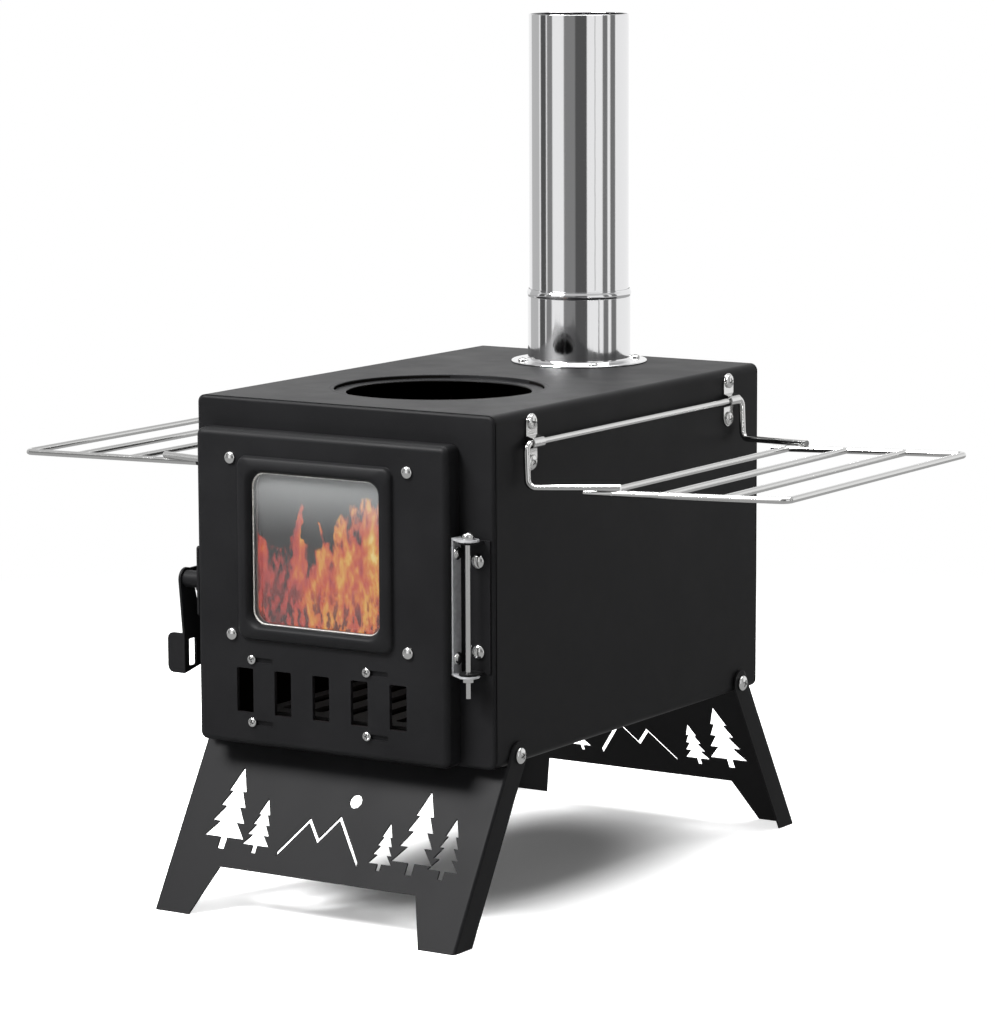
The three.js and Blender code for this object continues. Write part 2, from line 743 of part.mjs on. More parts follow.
// One leg panel, drawn for the front of the stove with its pivot at the origin: a channel whose web
// faces forward and whose flanges carry the pivots. It is drawn upright and then splayed.
function legPanel() {
  const splay = THREE.MathUtils.degToRad(legSplay);
  const half = legFlange / 2;
  const below = legPivotZ; // from the pivot to the ground
  const footLevel = -(below + half * Math.sin(splay)) / Math.cos(splay); // where the web meets the ground
  const reach = footLevel - legFlange;
  const wall = legBendRadius - sheet;
  const inner = flangeOuterX - sheet;
  const channel = [
    ...arc(flangeOuterX - legBendRadius, -half + legBendRadius, legBendRadius, 0, -90, cornerSteps),
    ...arc(-flangeOuterX + legBendRadius, -half + legBendRadius, legBendRadius, 270, 180, cornerSteps),
    new THREE.Vector2(-flangeOuterX, half),
    new THREE.Vector2(-inner, half),
    ...arc(-inner + wall, -half + sheet + wall, wall, 180, 270, cornerSteps),
    ...arc(inner - wall, -half + sheet + wall, wall, -90, 0, cornerSteps),
    new THREE.Vector2(inner, half),
    new THREE.Vector2(flangeOuterX, half),
  ];
  const blank = slab("z", channel, reach, half);
  const side = [
    new THREE.Vector2(-half, reach - 1),
    new THREE.Vector2(half, reach - 1),
    ...arc(0, 0, half, 0, 180, 3 * cornerSteps),
  ];
  const profile = slab("x", side, -flangeOuterX - 1, flangeOuterX + 1);
  const throughWeb = [-half - 1, -half + sheet + wall + 1];
  const cutTop = footLevel + footCutHeight;
  const [cutTopHalf, cutBottomHalf] = [flangeOuterX - footRootWidth, flangeOuterX - footWidth];
  const footCut = slab(
    "y",
    [
      new THREE.Vector2(-cutTopHalf, cutTop),
      new THREE.Vector2(-cutBottomHalf, footLevel),
      new THREE.Vector2(-cutBottomHalf, reach - 1),
      new THREE.Vector2(cutBottomHalf, reach - 1),
      new THREE.Vector2(cutBottomHalf, footLevel),
      new THREE.Vector2(cutTopHalf, cutTop),
    ],
    ...throughWeb,
  );
  const pineLevel = cutTop + pineFoot;
  const trees = pines.map(([x, height]) => slab("y", pineOutline(x, pineLevel, height), ...throughWeb));
  const ridge = slab("y", ridgeOutline(pineLevel + ridgeStroke), ...throughWeb);
  const sun = rod("y", sunRadius, ...throughWeb, [14, pineLevel + ridgeHeight + 3 * sunRadius]);
  const pivotHoles = [-1, 1].map((end) =>
    rod("x", legBolt.shank + holeClearance, end * flangeOuterX - 2, end * flangeOuterX + 2, [0, 0]),
  );
  const upright = cut(blank.intersect(profile), footCut, ...trees, ridge, sun, ...pivotHoles);
  const splayed = upright.rotate([-legSplay, 0, 0]);
  const far = bodyDepth;
  const ground = block([-bodyWidth, -far, -below - far], [bodyWidth, far, -below]);
  // The web stops just under the body, which it leans against.
  const webTop = -legPivotRise - seatGap;
  const clearOfBody = block([-inner, -far, webTop], [inner, far, webTop + far]);
  return cut(splayed, ground, clearOfBody);
}

const frontLegs = piece("front_legs", legPanel(), blackPaint());
frontLegs.position.set(0, legPivotY, legPivotZ);
const rearLegs = piece("rear_legs", legPanel(), blackPaint());
rearLegs.position.set(0, -legPivotY, legPivotZ);
rearLegs.rotation.z = Math.PI;

for (const [sideName, side] of [["right", 1], ["left", -1]]) {
  for (const [endName, end] of [["front", 1], ["rear", -1]]) {
    const at = [side * (flangeOuterX + seatGap), end * legPivotY, legPivotZ];
    const grip = seatGap + sheet + legSideGap + sheet;
    fastener(`leg_bolt_${endName}_${sideName}`, legBolt, grip, at, sideName, platedSteel());
  }
}

// ---------------------------------------------------------------- door

function doorPan() {
  const outer = roundedRectangle(doorWidth, doorHeight, doorCornerRadius, doorX, doorCentreZ);
  const inner = roundedRectangle(
    doorWidth - 2 * sheet,
    doorHeight - 2 * sheet,
    doorCornerRadius - sheet,
    doorX,
    doorCentreZ,
  );
  const beyond = doorBendRadius + 1;
  const skin = slab("y", outer, doorFaceY, doorBackY + beyond, [], doorBendRadius);
  const hollow = slab("y", inner, doorInnerY, doorBackY + 2 * beyond, [], doorBendRadius - sheet);
  const trim = block(
    [doorLeftX - 1, doorBackY, doorBottomZ - 1],
    [doorRightX + 1, doorBackY + 3 * beyond, doorBottomZ + doorHeight + 1],
  );
  const moulding = roundedRectangle(
    glassOpeningWidth + 2 * beadWidth,
    glassOpeningHeight + 2 * beadWidth,
    glassOpeningRadius,
    windowX,
    windowZ,
  );
  const beadRear = doorFaceY + sheet / 2;
  const bead = slab("y", moulding, doorFaceY - beadHeight, beadRear + beadRound, [glassOpening], beadRound);
  const beadTrim = block(
    [doorLeftX, beadRear, doorBottomZ],
    [doorRightX, beadRear + 2 * beadRound, doorBottomZ + doorHeight],
  );
  const through = [doorFaceY - 1, doorInnerY + 1];
  const tools = [
    slab("y", glassOpening, doorFaceY - sheet / 2, doorInnerY + 1),
    ...windowBoltPlaces.map((place) => rod("y", windowBolt.shank + holeClearance, ...through, place)),
    ...airSlots.map((outline) => slab("y", outline, ...through)),
  ];
  for (const [x, z] of damperScrewPlaces) {
    const width = 2 * (damperScrew.shank + holeClearance);
    const guide = roundedRectangle(damperTravel + width, width, width / 2 - 0.01, x + damperTravel / 2, z);
    tools.push(slab("y", guide, ...through));
  }
  for (const place of doorRivetPlaces) {
    tools.push(rod("x", doorRivet.shank + holeClearance, doorRightX - 2 * sheet, doorRightX + 1, place));
  }
  for (const place of latchRivetPlaces) {
    tools.push(rod("x", latchRivet.shank + holeClearance, doorLeftX - 1, doorLeftX + 2 * sheet, place));
  }
  return cut(join(cut(skin, hollow, trim), cut(bead, beadTrim)), ...tools);
}

// The latch bracket: a leaf riveted to the door's left edge, with a boss that carries the lever.
const latchLeaf = 2;
const latchRivetOffset = 21;
const latchRivetPlaces = [latchRivetOffset, -latchRivetOffset].map((offset) => [latchY, latchZ + offset]);
const latchBossEndX = latchInnerX + seatGap;

function latchBracket() {
  const leaf = slab(
    "x",
    roundedRectangle(2 * latchBossRadius, 2 * (latchRivetOffset + latchRivet.head + 2), 2, latchY, latchZ),
    doorLeftX - latchLeaf,
    doorLeftX,
  );
  const pivot = [latchY, latchZ];
  const boss = rod("x", latchBossRadius, latchBossEndX, doorLeftX - latchLeaf / 2, pivot, 2 * shankSteps);
  const boreDepth = latchBolt.tail + 2;
  const bore = rod("x", latchBolt.shank + holeClearance, latchBossEndX - 1, latchBossEndX + boreDepth, pivot);
  const rivets = latchRivetPlaces.map((place) =>
    rod("x", latchRivet.shank + holeClearance, doorLeftX - latchLeaf - 1, doorLeftX + 1, place),
  );
  return cut(join(leaf, boss), bore, ...rivets);
}

piece("door_pan", doorPan(), blackPaint());
piece("latch_bracket", latchBracket(), blackPaint());
["upper", "lower"].forEach((level, i) => {
  const at = [doorLeftX - latchLeaf, ...latchRivetPlaces[i]];
  fastener(`latch_rivet_${level}`, latchRivet, sheet + latchLeaf, at, "left", blackPaint());
});

// The glass is held against a gasket by a frame with a threaded boss for each bolt.
const glassFrontY = doorInnerY + gasketThickness;
const glassRearY = glassFrontY + glassThickness;
const frameRearY = glassRearY + sheet;

function windowSheet(lap, from, to, holes) {
  const outline = roundedRectangle(
    glassOpeningWidth + 2 * lap,
    glassOpeningHeight + 2 * lap,
    glassOpeningRadius,
    windowX,
    windowZ,
  );
  return slab("y", outline, from, to, holes);
}

piece("glass_gasket", windowSheet(glassLap, doorInnerY, glassFrontY, [glassOpening]), glassRope());
piece("window_glass", windowSheet(glassLap, glassFrontY, glassRearY, []), ceramicGlass());

function windowFrame() {
  const margin = 2 * windowFrameMargin;
  const outline = roundedRectangle(
    windowBoltSpanX + margin,
    windowBoltSpanZ + margin,
    windowFrameRadius,
    windowBoltMiddle,
    windowZ,
  );
  const face = slab("y", outline, glassRearY, frameRearY, [glassOpening]);
  const bosses = windowBoltPlaces.map((place) =>
    rod("y", 2 * windowBolt.shank, doorInnerY, frameRearY, place, shankSteps),
  );
  const bores = windowBoltPlaces.map((place) =>
    rod("y", windowBolt.shank + holeClearance, doorInnerY - 1, frameRearY + 1, place),
  );
  return cut(join(face, ...bosses), ...bores);
}

piece("window_frame", windowFrame(), zincSteel());
windowBoltPlaces.forEach(([x, z], i) => {
  const name = `window_bolt_${i + 1}`;
  fastener(name, windowBolt, frameRearY - doorFaceY, [x, doorFaceY, z], "front", platedSteel());
});

function ropeSeal() {
  const outer = roundedRectangle(
    doorWidth - 2 * sealInset,
    doorHeight - 2 * sealInset,
    doorCornerRadius,
    doorX,
    doorCentreZ,
  );
  const inset = sealInset + sealWidth;
  const inner = roundedRectangle(
    doorWidth - 2 * inset,
    doorHeight - 2 * inset,
    doorCornerRadius,
    doorX,
    doorCentreZ,
  );
  return slab("y", outer, doorInnerY, frontY - seatGap, [inner]);
}

piece("door_rope_seal", ropeSeal(), glassRope());

// ---------------------------------------------------------------- damper

const damperFrontY = doorInnerY + seatGap;

function damperPlate() {
  const slotsHalf = (airSlotPitch * (airSlotCount - 1) + airSlotWidth) / 2;
  const left = -slotsHalf - airSlotWidth / 2;
  const right = slotsHalf + damperEdge;
  const height = damperScrewSpanZ + 2 * (damperScrew.shank + damperEdge);
  const outline = roundedRectangle(right - left, height, 2, doorX + (left + right) / 2, airSlotZ);
  const screwHoles = damperScrewPlaces.map(([x, z]) => circle(x, z, damperScrew.shank + holeClearance / 2));
  return slab("y", outline, damperFrontY, damperFrontY + sheet, [...airSlots, ...screwHoles]);
}

piece("damper_plate", damperPlate(), zincSteel());
damperScrewPlaces.forEach(([x, z], i) => {
  const grip = damperFrontY - doorFaceY + seatGap + sheet;
  const name = `damper_screw_${i + 1}`;
  fastener(name, damperScrew, grip, [x, doorFaceY - seatGap, z], "front", platedSteel());
});

// ---------------------------------------------------------------- hinge

const earTop = hingeZ + hingeHeight / 2;
const earBottom = hingeZ - hingeHeight / 2;
const boltBore = hingeBolt.shank + holeClearance;

// The bracket on the door: a web riveted to the door's right edge and an ear at each end.
function doorHingeBracket() {
  const [webFront, webRear] = [doorBackY - doorHingeWeb, doorBackY];
  const web = block([doorRightX, webFront, earBottom], [doorRightX + hingePlate, webRear, earTop]);
  const ear = [
    new THREE.Vector2(doorRightX, webFront),
    ...arc(hingeX, hingeY, doorEarRadius, -100, 100, 3 * cornerSteps),
    new THREE.Vector2(doorRightX, webRear),
  ];
  const bore = [circle(hingeX, hingeY, boltBore)];
  const upper = slab("z", ear, earTop - hingePlate, earTop, bore);
  const lower = slab("z", ear, earBottom, earBottom + hingePlate, bore);
  const rivets = doorRivetPlaces.map((place) =>
    rod("x", doorRivet.shank + holeClearance, doorRightX - 1, doorRightX + hingePlate + 1, place),
  );
  return cut(join(web, upper, lower), ...rivets);
}

// The bracket on the body: its ears lie just inside the door's.
function bodyHingeBracket() {
  const top = earTop - hingePlate - seatGap;
  const bottom = earBottom + hingePlate + seatGap;
  const leafFront = frontY - hingePlate;
  const half = bodyHingeLeafWidth / 2;
  const leaf = block([bodyRivetX - half, leafFront, bottom], [bodyRivetX + half, frontY, top]);
  const ear = [
    ...arc(hingeX, hingeY, bodyEarRadius, 180, 360, 3 * cornerSteps),
    new THREE.Vector2(hingeX + bodyEarRadius, frontY),
    new THREE.Vector2(hingeX - bodyEarRadius, frontY),
  ];
  const bore = [circle(hingeX, hingeY, boltBore)];
  const upper = slab("z", ear, top - hingePlate, top, bore);
  const lower = slab("z", ear, bottom, bottom + hingePlate, bore);
  const rivets = bodyRivetPlaces.map((place) =>
    rod("y", bodyRivet.shank + holeClearance, leafFront - 1, frontY + 1, place),
  );
  return cut(join(leaf, upper, lower), ...rivets);
}

piece("door_hinge_bracket", doorHingeBracket(), zincSteel());
piece("body_hinge_bracket", bodyHingeBracket(), blackPaint());
["upper", "lower"].forEach((level, i) => {
  const doorAt = [doorRightX + hingePlate, ...doorRivetPlaces[i]];
  fastener(`door_hinge_rivet_${level}`, doorRivet, sheet + hingePlate, doorAt, "right", platedSteel());
  const [x, z] = bodyRivetPlaces[i];
  const bodyAt = [x, frontY - hingePlate, z];
  fastener(`body_hinge_rivet_${level}`, bodyRivet, sheet + hingePlate, bodyAt, "front", platedSteel());
});

const nutTop = earBottom - seatGap;
const nutBottom = nutTop - hingeNutHeight;
const boltMesh = piece(
  "hinge_bolt",
  fastenerBody(hingeBolt, earTop + seatGap - nutBottom),
  platedSteel(),
);
boltMesh.position.set(hingeX, hingeY, earTop + seatGap);

const hexagon = circle(0, 0, hingeNutWidth / 2 / Math.cos(Math.PI / 6), 6);
const nutBore = [circle(0, 0, hingeBolt.shank + holeClearance / 2)];
const nutMesh = piece("hinge_nut", slab("z", hexagon, 0, hingeNutHeight, nutBore), platedSteel());
nutMesh.position.set(hingeX, hingeY, nutBottom);

// ---------------------------------------------------------------- latch

// Drawn in (y, z) about the pivot: a hub, an arm that widens to a slotted grip, and a hooked finger.
function latchLever() {
  const gripTop = -(latchArmLength - latchGripHeight);
  const gripBottom = -latchArmLength;
  const gripFront = -latchHubRadius / 2;
  const gripRear = gripFront + latchGripDepth;
  const notchHalf = keeperRadius + latchNotchGap;
  const lip = -keeperRadius;
  const fingerTop = notchHalf + latchFingerWall;
  const fingerEnd = latchReach + fingerTop;
  const armOutline = [
    ...arc(0, 0, latchHubRadius, 60, 180, 3 * cornerSteps),
    new THREE.Vector2(gripFront, gripTop),
    new THREE.Vector2(gripFront, gripBottom),
    new THREE.Vector2(gripRear - latchGripSlope, gripBottom + latchGripSlope),
    new THREE.Vector2(gripRear, gripBottom + 2 * latchGripSlope),
    new THREE.Vector2(gripRear, gripTop),
    new THREE.Vector2(latchHubRadius, lip),
    new THREE.Vector2(latchReach - notchHalf, lip),
    ...arc(latchReach, 0, notchHalf, 180, 0, 2 * cornerSteps),
    new THREE.Vector2(latchReach + notchHalf, lip),
    new THREE.Vector2(fingerEnd, lip),
    new THREE.Vector2(fingerEnd, notchHalf),
    new THREE.Vector2(latchReach + notchHalf, fingerTop),
  ];
  const slotZ = (gripTop + gripBottom) / 2;
  const slotY = gripFront + latchSlotInset + latchSlotWidth / 2;
  const slotHeight = latchGripHeight - 2 * latchSlotMargin;
  const slot = roundedRectangle(latchSlotWidth, slotHeight, 1, slotY, slotZ);
  const pivotHole = circle(0, 0, latchBolt.shank + holeClearance);
  const arm = slab("x", armOutline, -latchArmPlate, 0, [slot, pivotHole]);
  // The tab is the outer end of a rounded plate whose inner end is cut away inside the arm.
  const tabLength = 2 * latchGripWidth;
  const tabMiddle = -latchGripWidth + tabLength / 2;
  const tabOutline = roundedRectangle(tabLength, latchGripHeight, latchGripRound, tabMiddle, slotZ);
  const tabPlate = slab("y", tabOutline, gripFront, gripFront + sheet);
  const inArm = -latchArmPlate / 2;
  const outerEnd = block([-tabLength, gripFront - 1, gripBottom - 1], [inArm, gripRear, gripTop + 1]);
  return join(arm, tabPlate.intersect(outerEnd));
}

const leverMesh = piece("latch_lever", latchLever(), blackPaint());
leverMesh.position.set(latchInnerX, latchY, latchZ);
const latchBoltAt = [latchOuterX - seatGap, latchY, latchZ];
fastener("latch_bolt", latchBolt, latchArmPlate + 2 * seatGap, latchBoltAt, "left", blackPaint());

// The keeper: a shouldered pin through the body's left side with a dome outside the lever.
function keeper() {
  const shoulder = latchOut + latchArmPlate + 2 * seatGap;
  const head = keeperRadius + 1.2;
  return turned(
    [
      [0, -keeperTail],
      [keeperRadius, -keeperTail],
      [keeperRadius, shoulder],
      [head, shoulder],
      [head, shoulder + 1],
      [head - 1.4, shoulder + 2],
      [0, shoulder + 2.2],
    ],
    shankSteps,
  );
}

const keeperMesh = piece("latch_keeper", keeper(), platedSteel());
keeperMesh.position.set(-sideX, keeperY, keeperZ);
keeperMesh.rotation.set(...facing.left);

// ---------------------------------------------------------------- fire grate

function fireGrate() {
  const floorZ = bottomZ + sheet + seatGap;
  const top = floorZ + grateHeight;
  const [halfWidth, halfLength] = [grateWidth / 2, grateLength / 2];
  const deck = block([-halfWidth, -halfLength, top - grateSheet], [halfWidth, halfLength, top]);
  const sides = [-1, 1].map((side) => {
    const edges = [side * halfWidth, side * (halfWidth - grateSheet)].sort((a, b) => a - b);
    return block([edges[0], -halfLength, floorZ], [edges[1], halfLength, top - 1]);
  });
  const slotLength = (grateLength - 3 * grateRib) / 2;
  const slotsAcross = Math.floor((grateWidth - 2 * grateRib) / grateSlotPitch);
  const slots = [];
  for (let i = 0; i <= slotsAcross; i += 1) {
    const x = (i - slotsAcross / 2) * grateSlotPitch;
    for (const side of [-1, 1]) {
      const y = (side * (slotLength + grateRib)) / 2;
      const outline = roundedRectangle(grateSlotWidth, slotLength, 4, x, y);
      slots.push(slab("z", outline, top - grateSheet - 1, top + 1));
    }
  }
  return cut(join(deck, ...sides), ...slots);
}

piece("fire_grate", fireGrate(), castIron());

export default stove;
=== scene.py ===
"""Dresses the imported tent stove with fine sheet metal, wire, fasteners, glass and fire, and lights it.

Laid out as an add-on whose operators each make one group of pieces, and run as a script.
"""

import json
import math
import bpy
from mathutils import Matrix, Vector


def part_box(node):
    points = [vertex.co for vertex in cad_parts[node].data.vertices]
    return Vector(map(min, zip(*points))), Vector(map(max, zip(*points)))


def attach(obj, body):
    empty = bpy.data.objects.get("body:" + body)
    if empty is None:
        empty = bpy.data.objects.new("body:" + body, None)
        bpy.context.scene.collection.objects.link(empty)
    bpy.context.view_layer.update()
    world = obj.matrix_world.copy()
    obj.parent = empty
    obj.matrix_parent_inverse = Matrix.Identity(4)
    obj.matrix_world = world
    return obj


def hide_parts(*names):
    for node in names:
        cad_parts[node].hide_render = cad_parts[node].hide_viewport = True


bl_info = {
    "name": "Tent Stove Dresser",
    "version": (1, 0, 0),
    "blender": (4, 5, 0),
    "location": "View3D > Sidebar > Stove",
    "description": "Makes the visible sheet metal, wire, fasteners, glass, fire and stage of a tent stove",
    "category": "Object",
}

import bmesh
import bpy
from bpy.props import FloatProperty, FloatVectorProperty, IntProperty, PointerProperty
from mathutils import Matrix, Vector, noise

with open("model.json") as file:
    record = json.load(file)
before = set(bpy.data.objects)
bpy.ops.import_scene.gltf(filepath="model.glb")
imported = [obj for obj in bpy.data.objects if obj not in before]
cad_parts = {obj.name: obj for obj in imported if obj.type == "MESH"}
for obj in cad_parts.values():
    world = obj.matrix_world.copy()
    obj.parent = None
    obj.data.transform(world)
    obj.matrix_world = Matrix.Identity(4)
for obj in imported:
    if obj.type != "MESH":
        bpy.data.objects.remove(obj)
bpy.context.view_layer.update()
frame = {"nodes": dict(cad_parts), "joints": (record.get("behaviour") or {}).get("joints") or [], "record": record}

MM = 0.001
FRAME_WIDTH, FRAME_HEIGHT = 995, 1024  # of the picture, in pixels
SENSOR = 36.0  # millimetres along the picture's longer side
UP = Vector((0, 0, 1))
OUTWARD = {"front": Vector((0, -1, 0)), "right": Vector((1, 0, 0)), "left": Vector((-1, 0, 0)), "top": UP}
SIDES = ("right", "left")


# ---------------------------------------------------------------- colour, meshes and nodes


def linear(hex_colour):
    """An sRGB hex value such as "2a2b2e" as linear red, green, blue and alpha."""
    channels = [int(hex_colour[i : i + 2], 16) / 255 for i in (0, 2, 4)]
    return (*[c / 12.92 if c <= 0.04045 else ((c + 0.055) / 1.055) ** 2.4 for c in channels], 1.0)


def corners(node):
    """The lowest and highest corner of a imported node, in metres."""
    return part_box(node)


def middle(node):
    low, high = corners(node)
    return (low + high) / 2


def add_object(name, mesh):
    piece = bpy.data.objects.new(name, mesh)
    bpy.context.scene.collection.objects.link(piece)
    return piece


def mesh_of(name, build):
    """A new mesh from a function that fills a bmesh."""
    mesh = bpy.data.meshes.new(name)
    shape = bmesh.new()
    build(shape)
    shape.to_mesh(mesh)
    shape.free()
    return mesh


def shade(piece, smooth_angle):
    """Smooth across edges gentler than the angle, sharp across the others."""
    mesh = piece.data
    mesh.shade_smooth()
    mesh.set_sharp_from_angle(angle=math.radians(smooth_angle))
    weighted = piece.modifiers.new("Weighted normals", "WEIGHTED_NORMAL")
    weighted.keep_sharp = True
    weighted.weight = 60
    settle(piece)


def settle(piece):
    """Turns the piece's modifiers into its mesh."""
    evaluated = piece.evaluated_get(bpy.context.evaluated_depsgraph_get())
    mesh = bpy.data.meshes.new_from_object(evaluated)
    piece.modifiers.clear()
    old = piece.data
    piece.data = mesh
    bpy.data.meshes.remove(old)
    return piece


def soften(piece, width, segments=2, angle=40):
    """Rounds the piece's sharp edges, as pressed and cut sheet has them."""
    bevel = piece.modifiers.new("Softened edges", "BEVEL")
    bevel.width = width
    bevel.segments = segments
    bevel.limit_method = "ANGLE"
    bevel.angle_limit = math.radians(angle)
    bevel.miter_outer = "MITER_ARC"
    return settle(piece)


def finish_piece(piece, material, body, replaced, smooth_angle=40):
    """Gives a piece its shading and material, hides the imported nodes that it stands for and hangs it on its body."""
    shade(piece, smooth_angle)
    piece.data.materials.clear()
    piece.data.materials.append(material)
    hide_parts(*replaced)
    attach(piece, body)
    return piece


def reworked(node, name, material, body, edge=0.25 * MM, smooth_angle=40):
    """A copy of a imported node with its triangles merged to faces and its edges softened."""
    mesh = frame["nodes"][node].data.copy()
    mesh.name = name
    shape = bmesh.new()
    shape.from_mesh(mesh)
    bmesh.ops.remove_doubles(shape, verts=shape.verts, dist=2e-6)
    bmesh.ops.dissolve_limit(shape, angle_limit=math.radians(0.6), verts=shape.verts, edges=shape.edges)
    shape.to_mesh(mesh)
    shape.free()
    mesh.materials.clear()
    piece = add_object(name, mesh)
    soften(piece, edge)
    return finish_piece(piece, material, body, [node], smooth_angle)


def rounded_loop(centre_x, centre_z, half_x, half_z, radius, y, steps=10):
    """A rounded rectangle across Y, as points that run round it once."""
    points = []
    for quarter, (sx, sz) in enumerate(((1, 1), (-1, 1), (-1, -1), (1, -1))):
        hub = Vector((centre_x + sx * (half_x - radius), y, centre_z + sz * (half_z - radius)))
        for k in range(steps + 1):
            angle = (quarter + k / steps) * math.pi / 2
            points.append(hub + Vector((math.cos(angle), 0, math.sin(angle))) * radius)
    return points


def skin(shape, loops, closed=False, start_cap=False, end_cap=False):
    """Joins loops of equally many points into a surface."""
    rings = [[shape.verts.new(point) for point in loop] for loop in loops]
    pairs = list(zip(rings, rings[1:]))
    if closed:
        pairs.append((rings[-1], rings[0]))
    count = len(rings[0])
    for near, far in pairs:
        for i in range(count):
            j = (i + 1) % count
            shape.faces.new((near[i], near[j], far[j], far[i]))
    if start_cap:
        shape.faces.new(rings[0])
    if end_cap:
        shape.faces.new(rings[-1])
    bmesh.ops.recalc_face_normals(shape, faces=shape.faces)


def turned_loops(profile, centre, steps):
    """The rings of a solid turned about an upright axis. A profile point is (radius, height)."""
    rings = []
    for radius, height in profile:
        ring = []
        for k in range(steps):
            angle = 2 * math.pi * k / steps
            ring.append(Vector((centre.x + radius * math.cos(angle), centre.y + radius * math.sin(angle), height)))
        rings.append(ring)
    return rings


def arc_points(centre_u, centre_v, radius, start, end, steps):
    """Points (u, v) of an arc between two angles in degrees."""
    points = []
    for k in range(steps + 1):
        angle = math.radians(start + (end - start) * k / steps)
        points.append((centre_u + radius * math.cos(angle), centre_v + radius * math.sin(angle)))
    return points


def cut_away(piece, build):
    """Cuts the shape that build makes out of the piece."""
    cutter = add_object("cutter", mesh_of("cutter", build))
    boolean = piece.modifiers.new("Cut", "BOOLEAN")
    boolean.operation = "DIFFERENCE"
    boolean.solver = "EXACT"
    boolean.object = cutter
    settle(piece)
    mesh = cutter.data
    bpy.data.objects.remove(cutter)
    bpy.data.meshes.remove(mesh)
    return piece


def new_material(name):
    """An empty node material and its output node."""
    material = bpy.data.materials.new(name)
    material.use_nodes = True
    tree = material.node_tree
    tree.nodes.clear()
    return material, tree, tree.nodes.new("ShaderNodeOutputMaterial")


def add_node(tree, kind, inputs=None, **settings):
    """Adds a node with its settings. An input is a value, or an output socket to link."""
    node = tree.nodes.new(kind)
    for setting, value in settings.items():
        setattr(node, setting, value)
    for key, value in (inputs or {}).items():
        named = [socket for socket in node.inputs if socket.name == key and socket.enabled]
        socket = named[0] if named else node.inputs[key]
        if isinstance(value, bpy.types.NodeSocket):
            tree.links.new(value, socket)
        else:
            socket.default_value = value
    return node


def ramp(tree, factor, stops):
    """A colour ramp through (position, colour) stops."""
    node = add_node(tree, "ShaderNodeValToRGB", {"Fac": factor})
    elements = node.color_ramp.elements
    while len(elements) < len(stops):
        elements.new(0.5)
    for element, (position, colour) in zip(elements, stops):
        element.position = position
        element.color = colour
    return node.outputs["Color"]


def grey(value):
    return (value, value, value, 1.0)


# ---------------------------------------------------------------- properties


def length(name, description, millimetres):
    return FloatProperty(name=name, description=description, default=millimetres * MM, unit="LENGTH")


class StoveSizes(bpy.types.PropertyGroup):
    """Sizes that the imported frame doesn't give by itself."""

    sheet: length("Sheet", "Thickness of the body's and the door's sheet", 1.5)
    body_bend: length("Body bend", "Bend between the body's sides", 6)
    end_round: length("End rounding", "Rounding of the end plates' outer edges", 3)
    door_bend: length("Door bend", "Bend from the door's face to its edges", 5)
    door_corner: length("Door corner", "Corner radius of the door's outline", 6)
    window_corner: length("Window corner", "Corner radius of the window", 11)
    bead_width: length("Moulding width", "Width of the raised moulding", 12)
    bead_height: length("Moulding height", "Height of the moulding over the door", 5)
    cook_hole: length("Cooking hole", "Radius of the cooking hole", 71)
    cook_ledge: length("Lid ledge", "Width of the pressed ledge", 9)
    cook_recess: length("Lid recess", "Depth of the pressed ledge", 3)
    seal_width: length("Seal width", "Across the rope", 6.5)
    seal_lap: length("Seal lap", "Of the rope over the firebox's opening", 3)
    pipe_wall: length("Pipe wall", "Wall of the pipe", 1)
    wire: length("Wire", "Radius of the rack's wire", 2.5)
    wire_bend: length("Wire bend", "Inside bend of the rack's corners", 6)


class StoveFinishes(bpy.types.PropertyGroup):
    """Colours and gloss of the stove's surfaces."""

    paint: FloatVectorProperty(
        name="Paint", description="Heat-resistant paint", default=linear("101011"), size=4, subtype="COLOR"
    )
    paint_gloss: FloatProperty(
        name="Paint gloss", description="Specular level of the paint", default=0.14, min=0, max=1, subtype="FACTOR"
    )
    stainless: FloatVectorProperty(
        name="Stainless", description="Polished stainless steel", default=linear("dfdfe0"), size=4, subtype="COLOR"
    )
    nickel: FloatVectorProperty(
        name="Nickel", description="Bright nickel plate", default=linear("d6d6d5"), size=4, subtype="COLOR"
    )
    zinc: FloatVectorProperty(
        name="Zinc", description="Dull zinc plate", default=linear("a9aaac"), size=4, subtype="COLOR"
    )
    haze: FloatVectorProperty(
        name="Glass haze", description="Grey haze on the window", default=linear("a2a4a4"), size=4, subtype="COLOR"
    )
    flame: FloatProperty(name="Flame", description="Strength of the flames' glow", default=0.86, min=0, max=10)


def sizes():
    return bpy.context.scene.stove_sizes


def finishes():
    return bpy.context.scene.stove_finishes


# ---------------------------------------------------------------- materials

_made = {}


def material_once(make):
    """Makes a material the first time it is asked for."""

    def get():
        if make.__name__ not in _made:
            _made[make.__name__] = make()
        return _made[make.__name__]

    return get


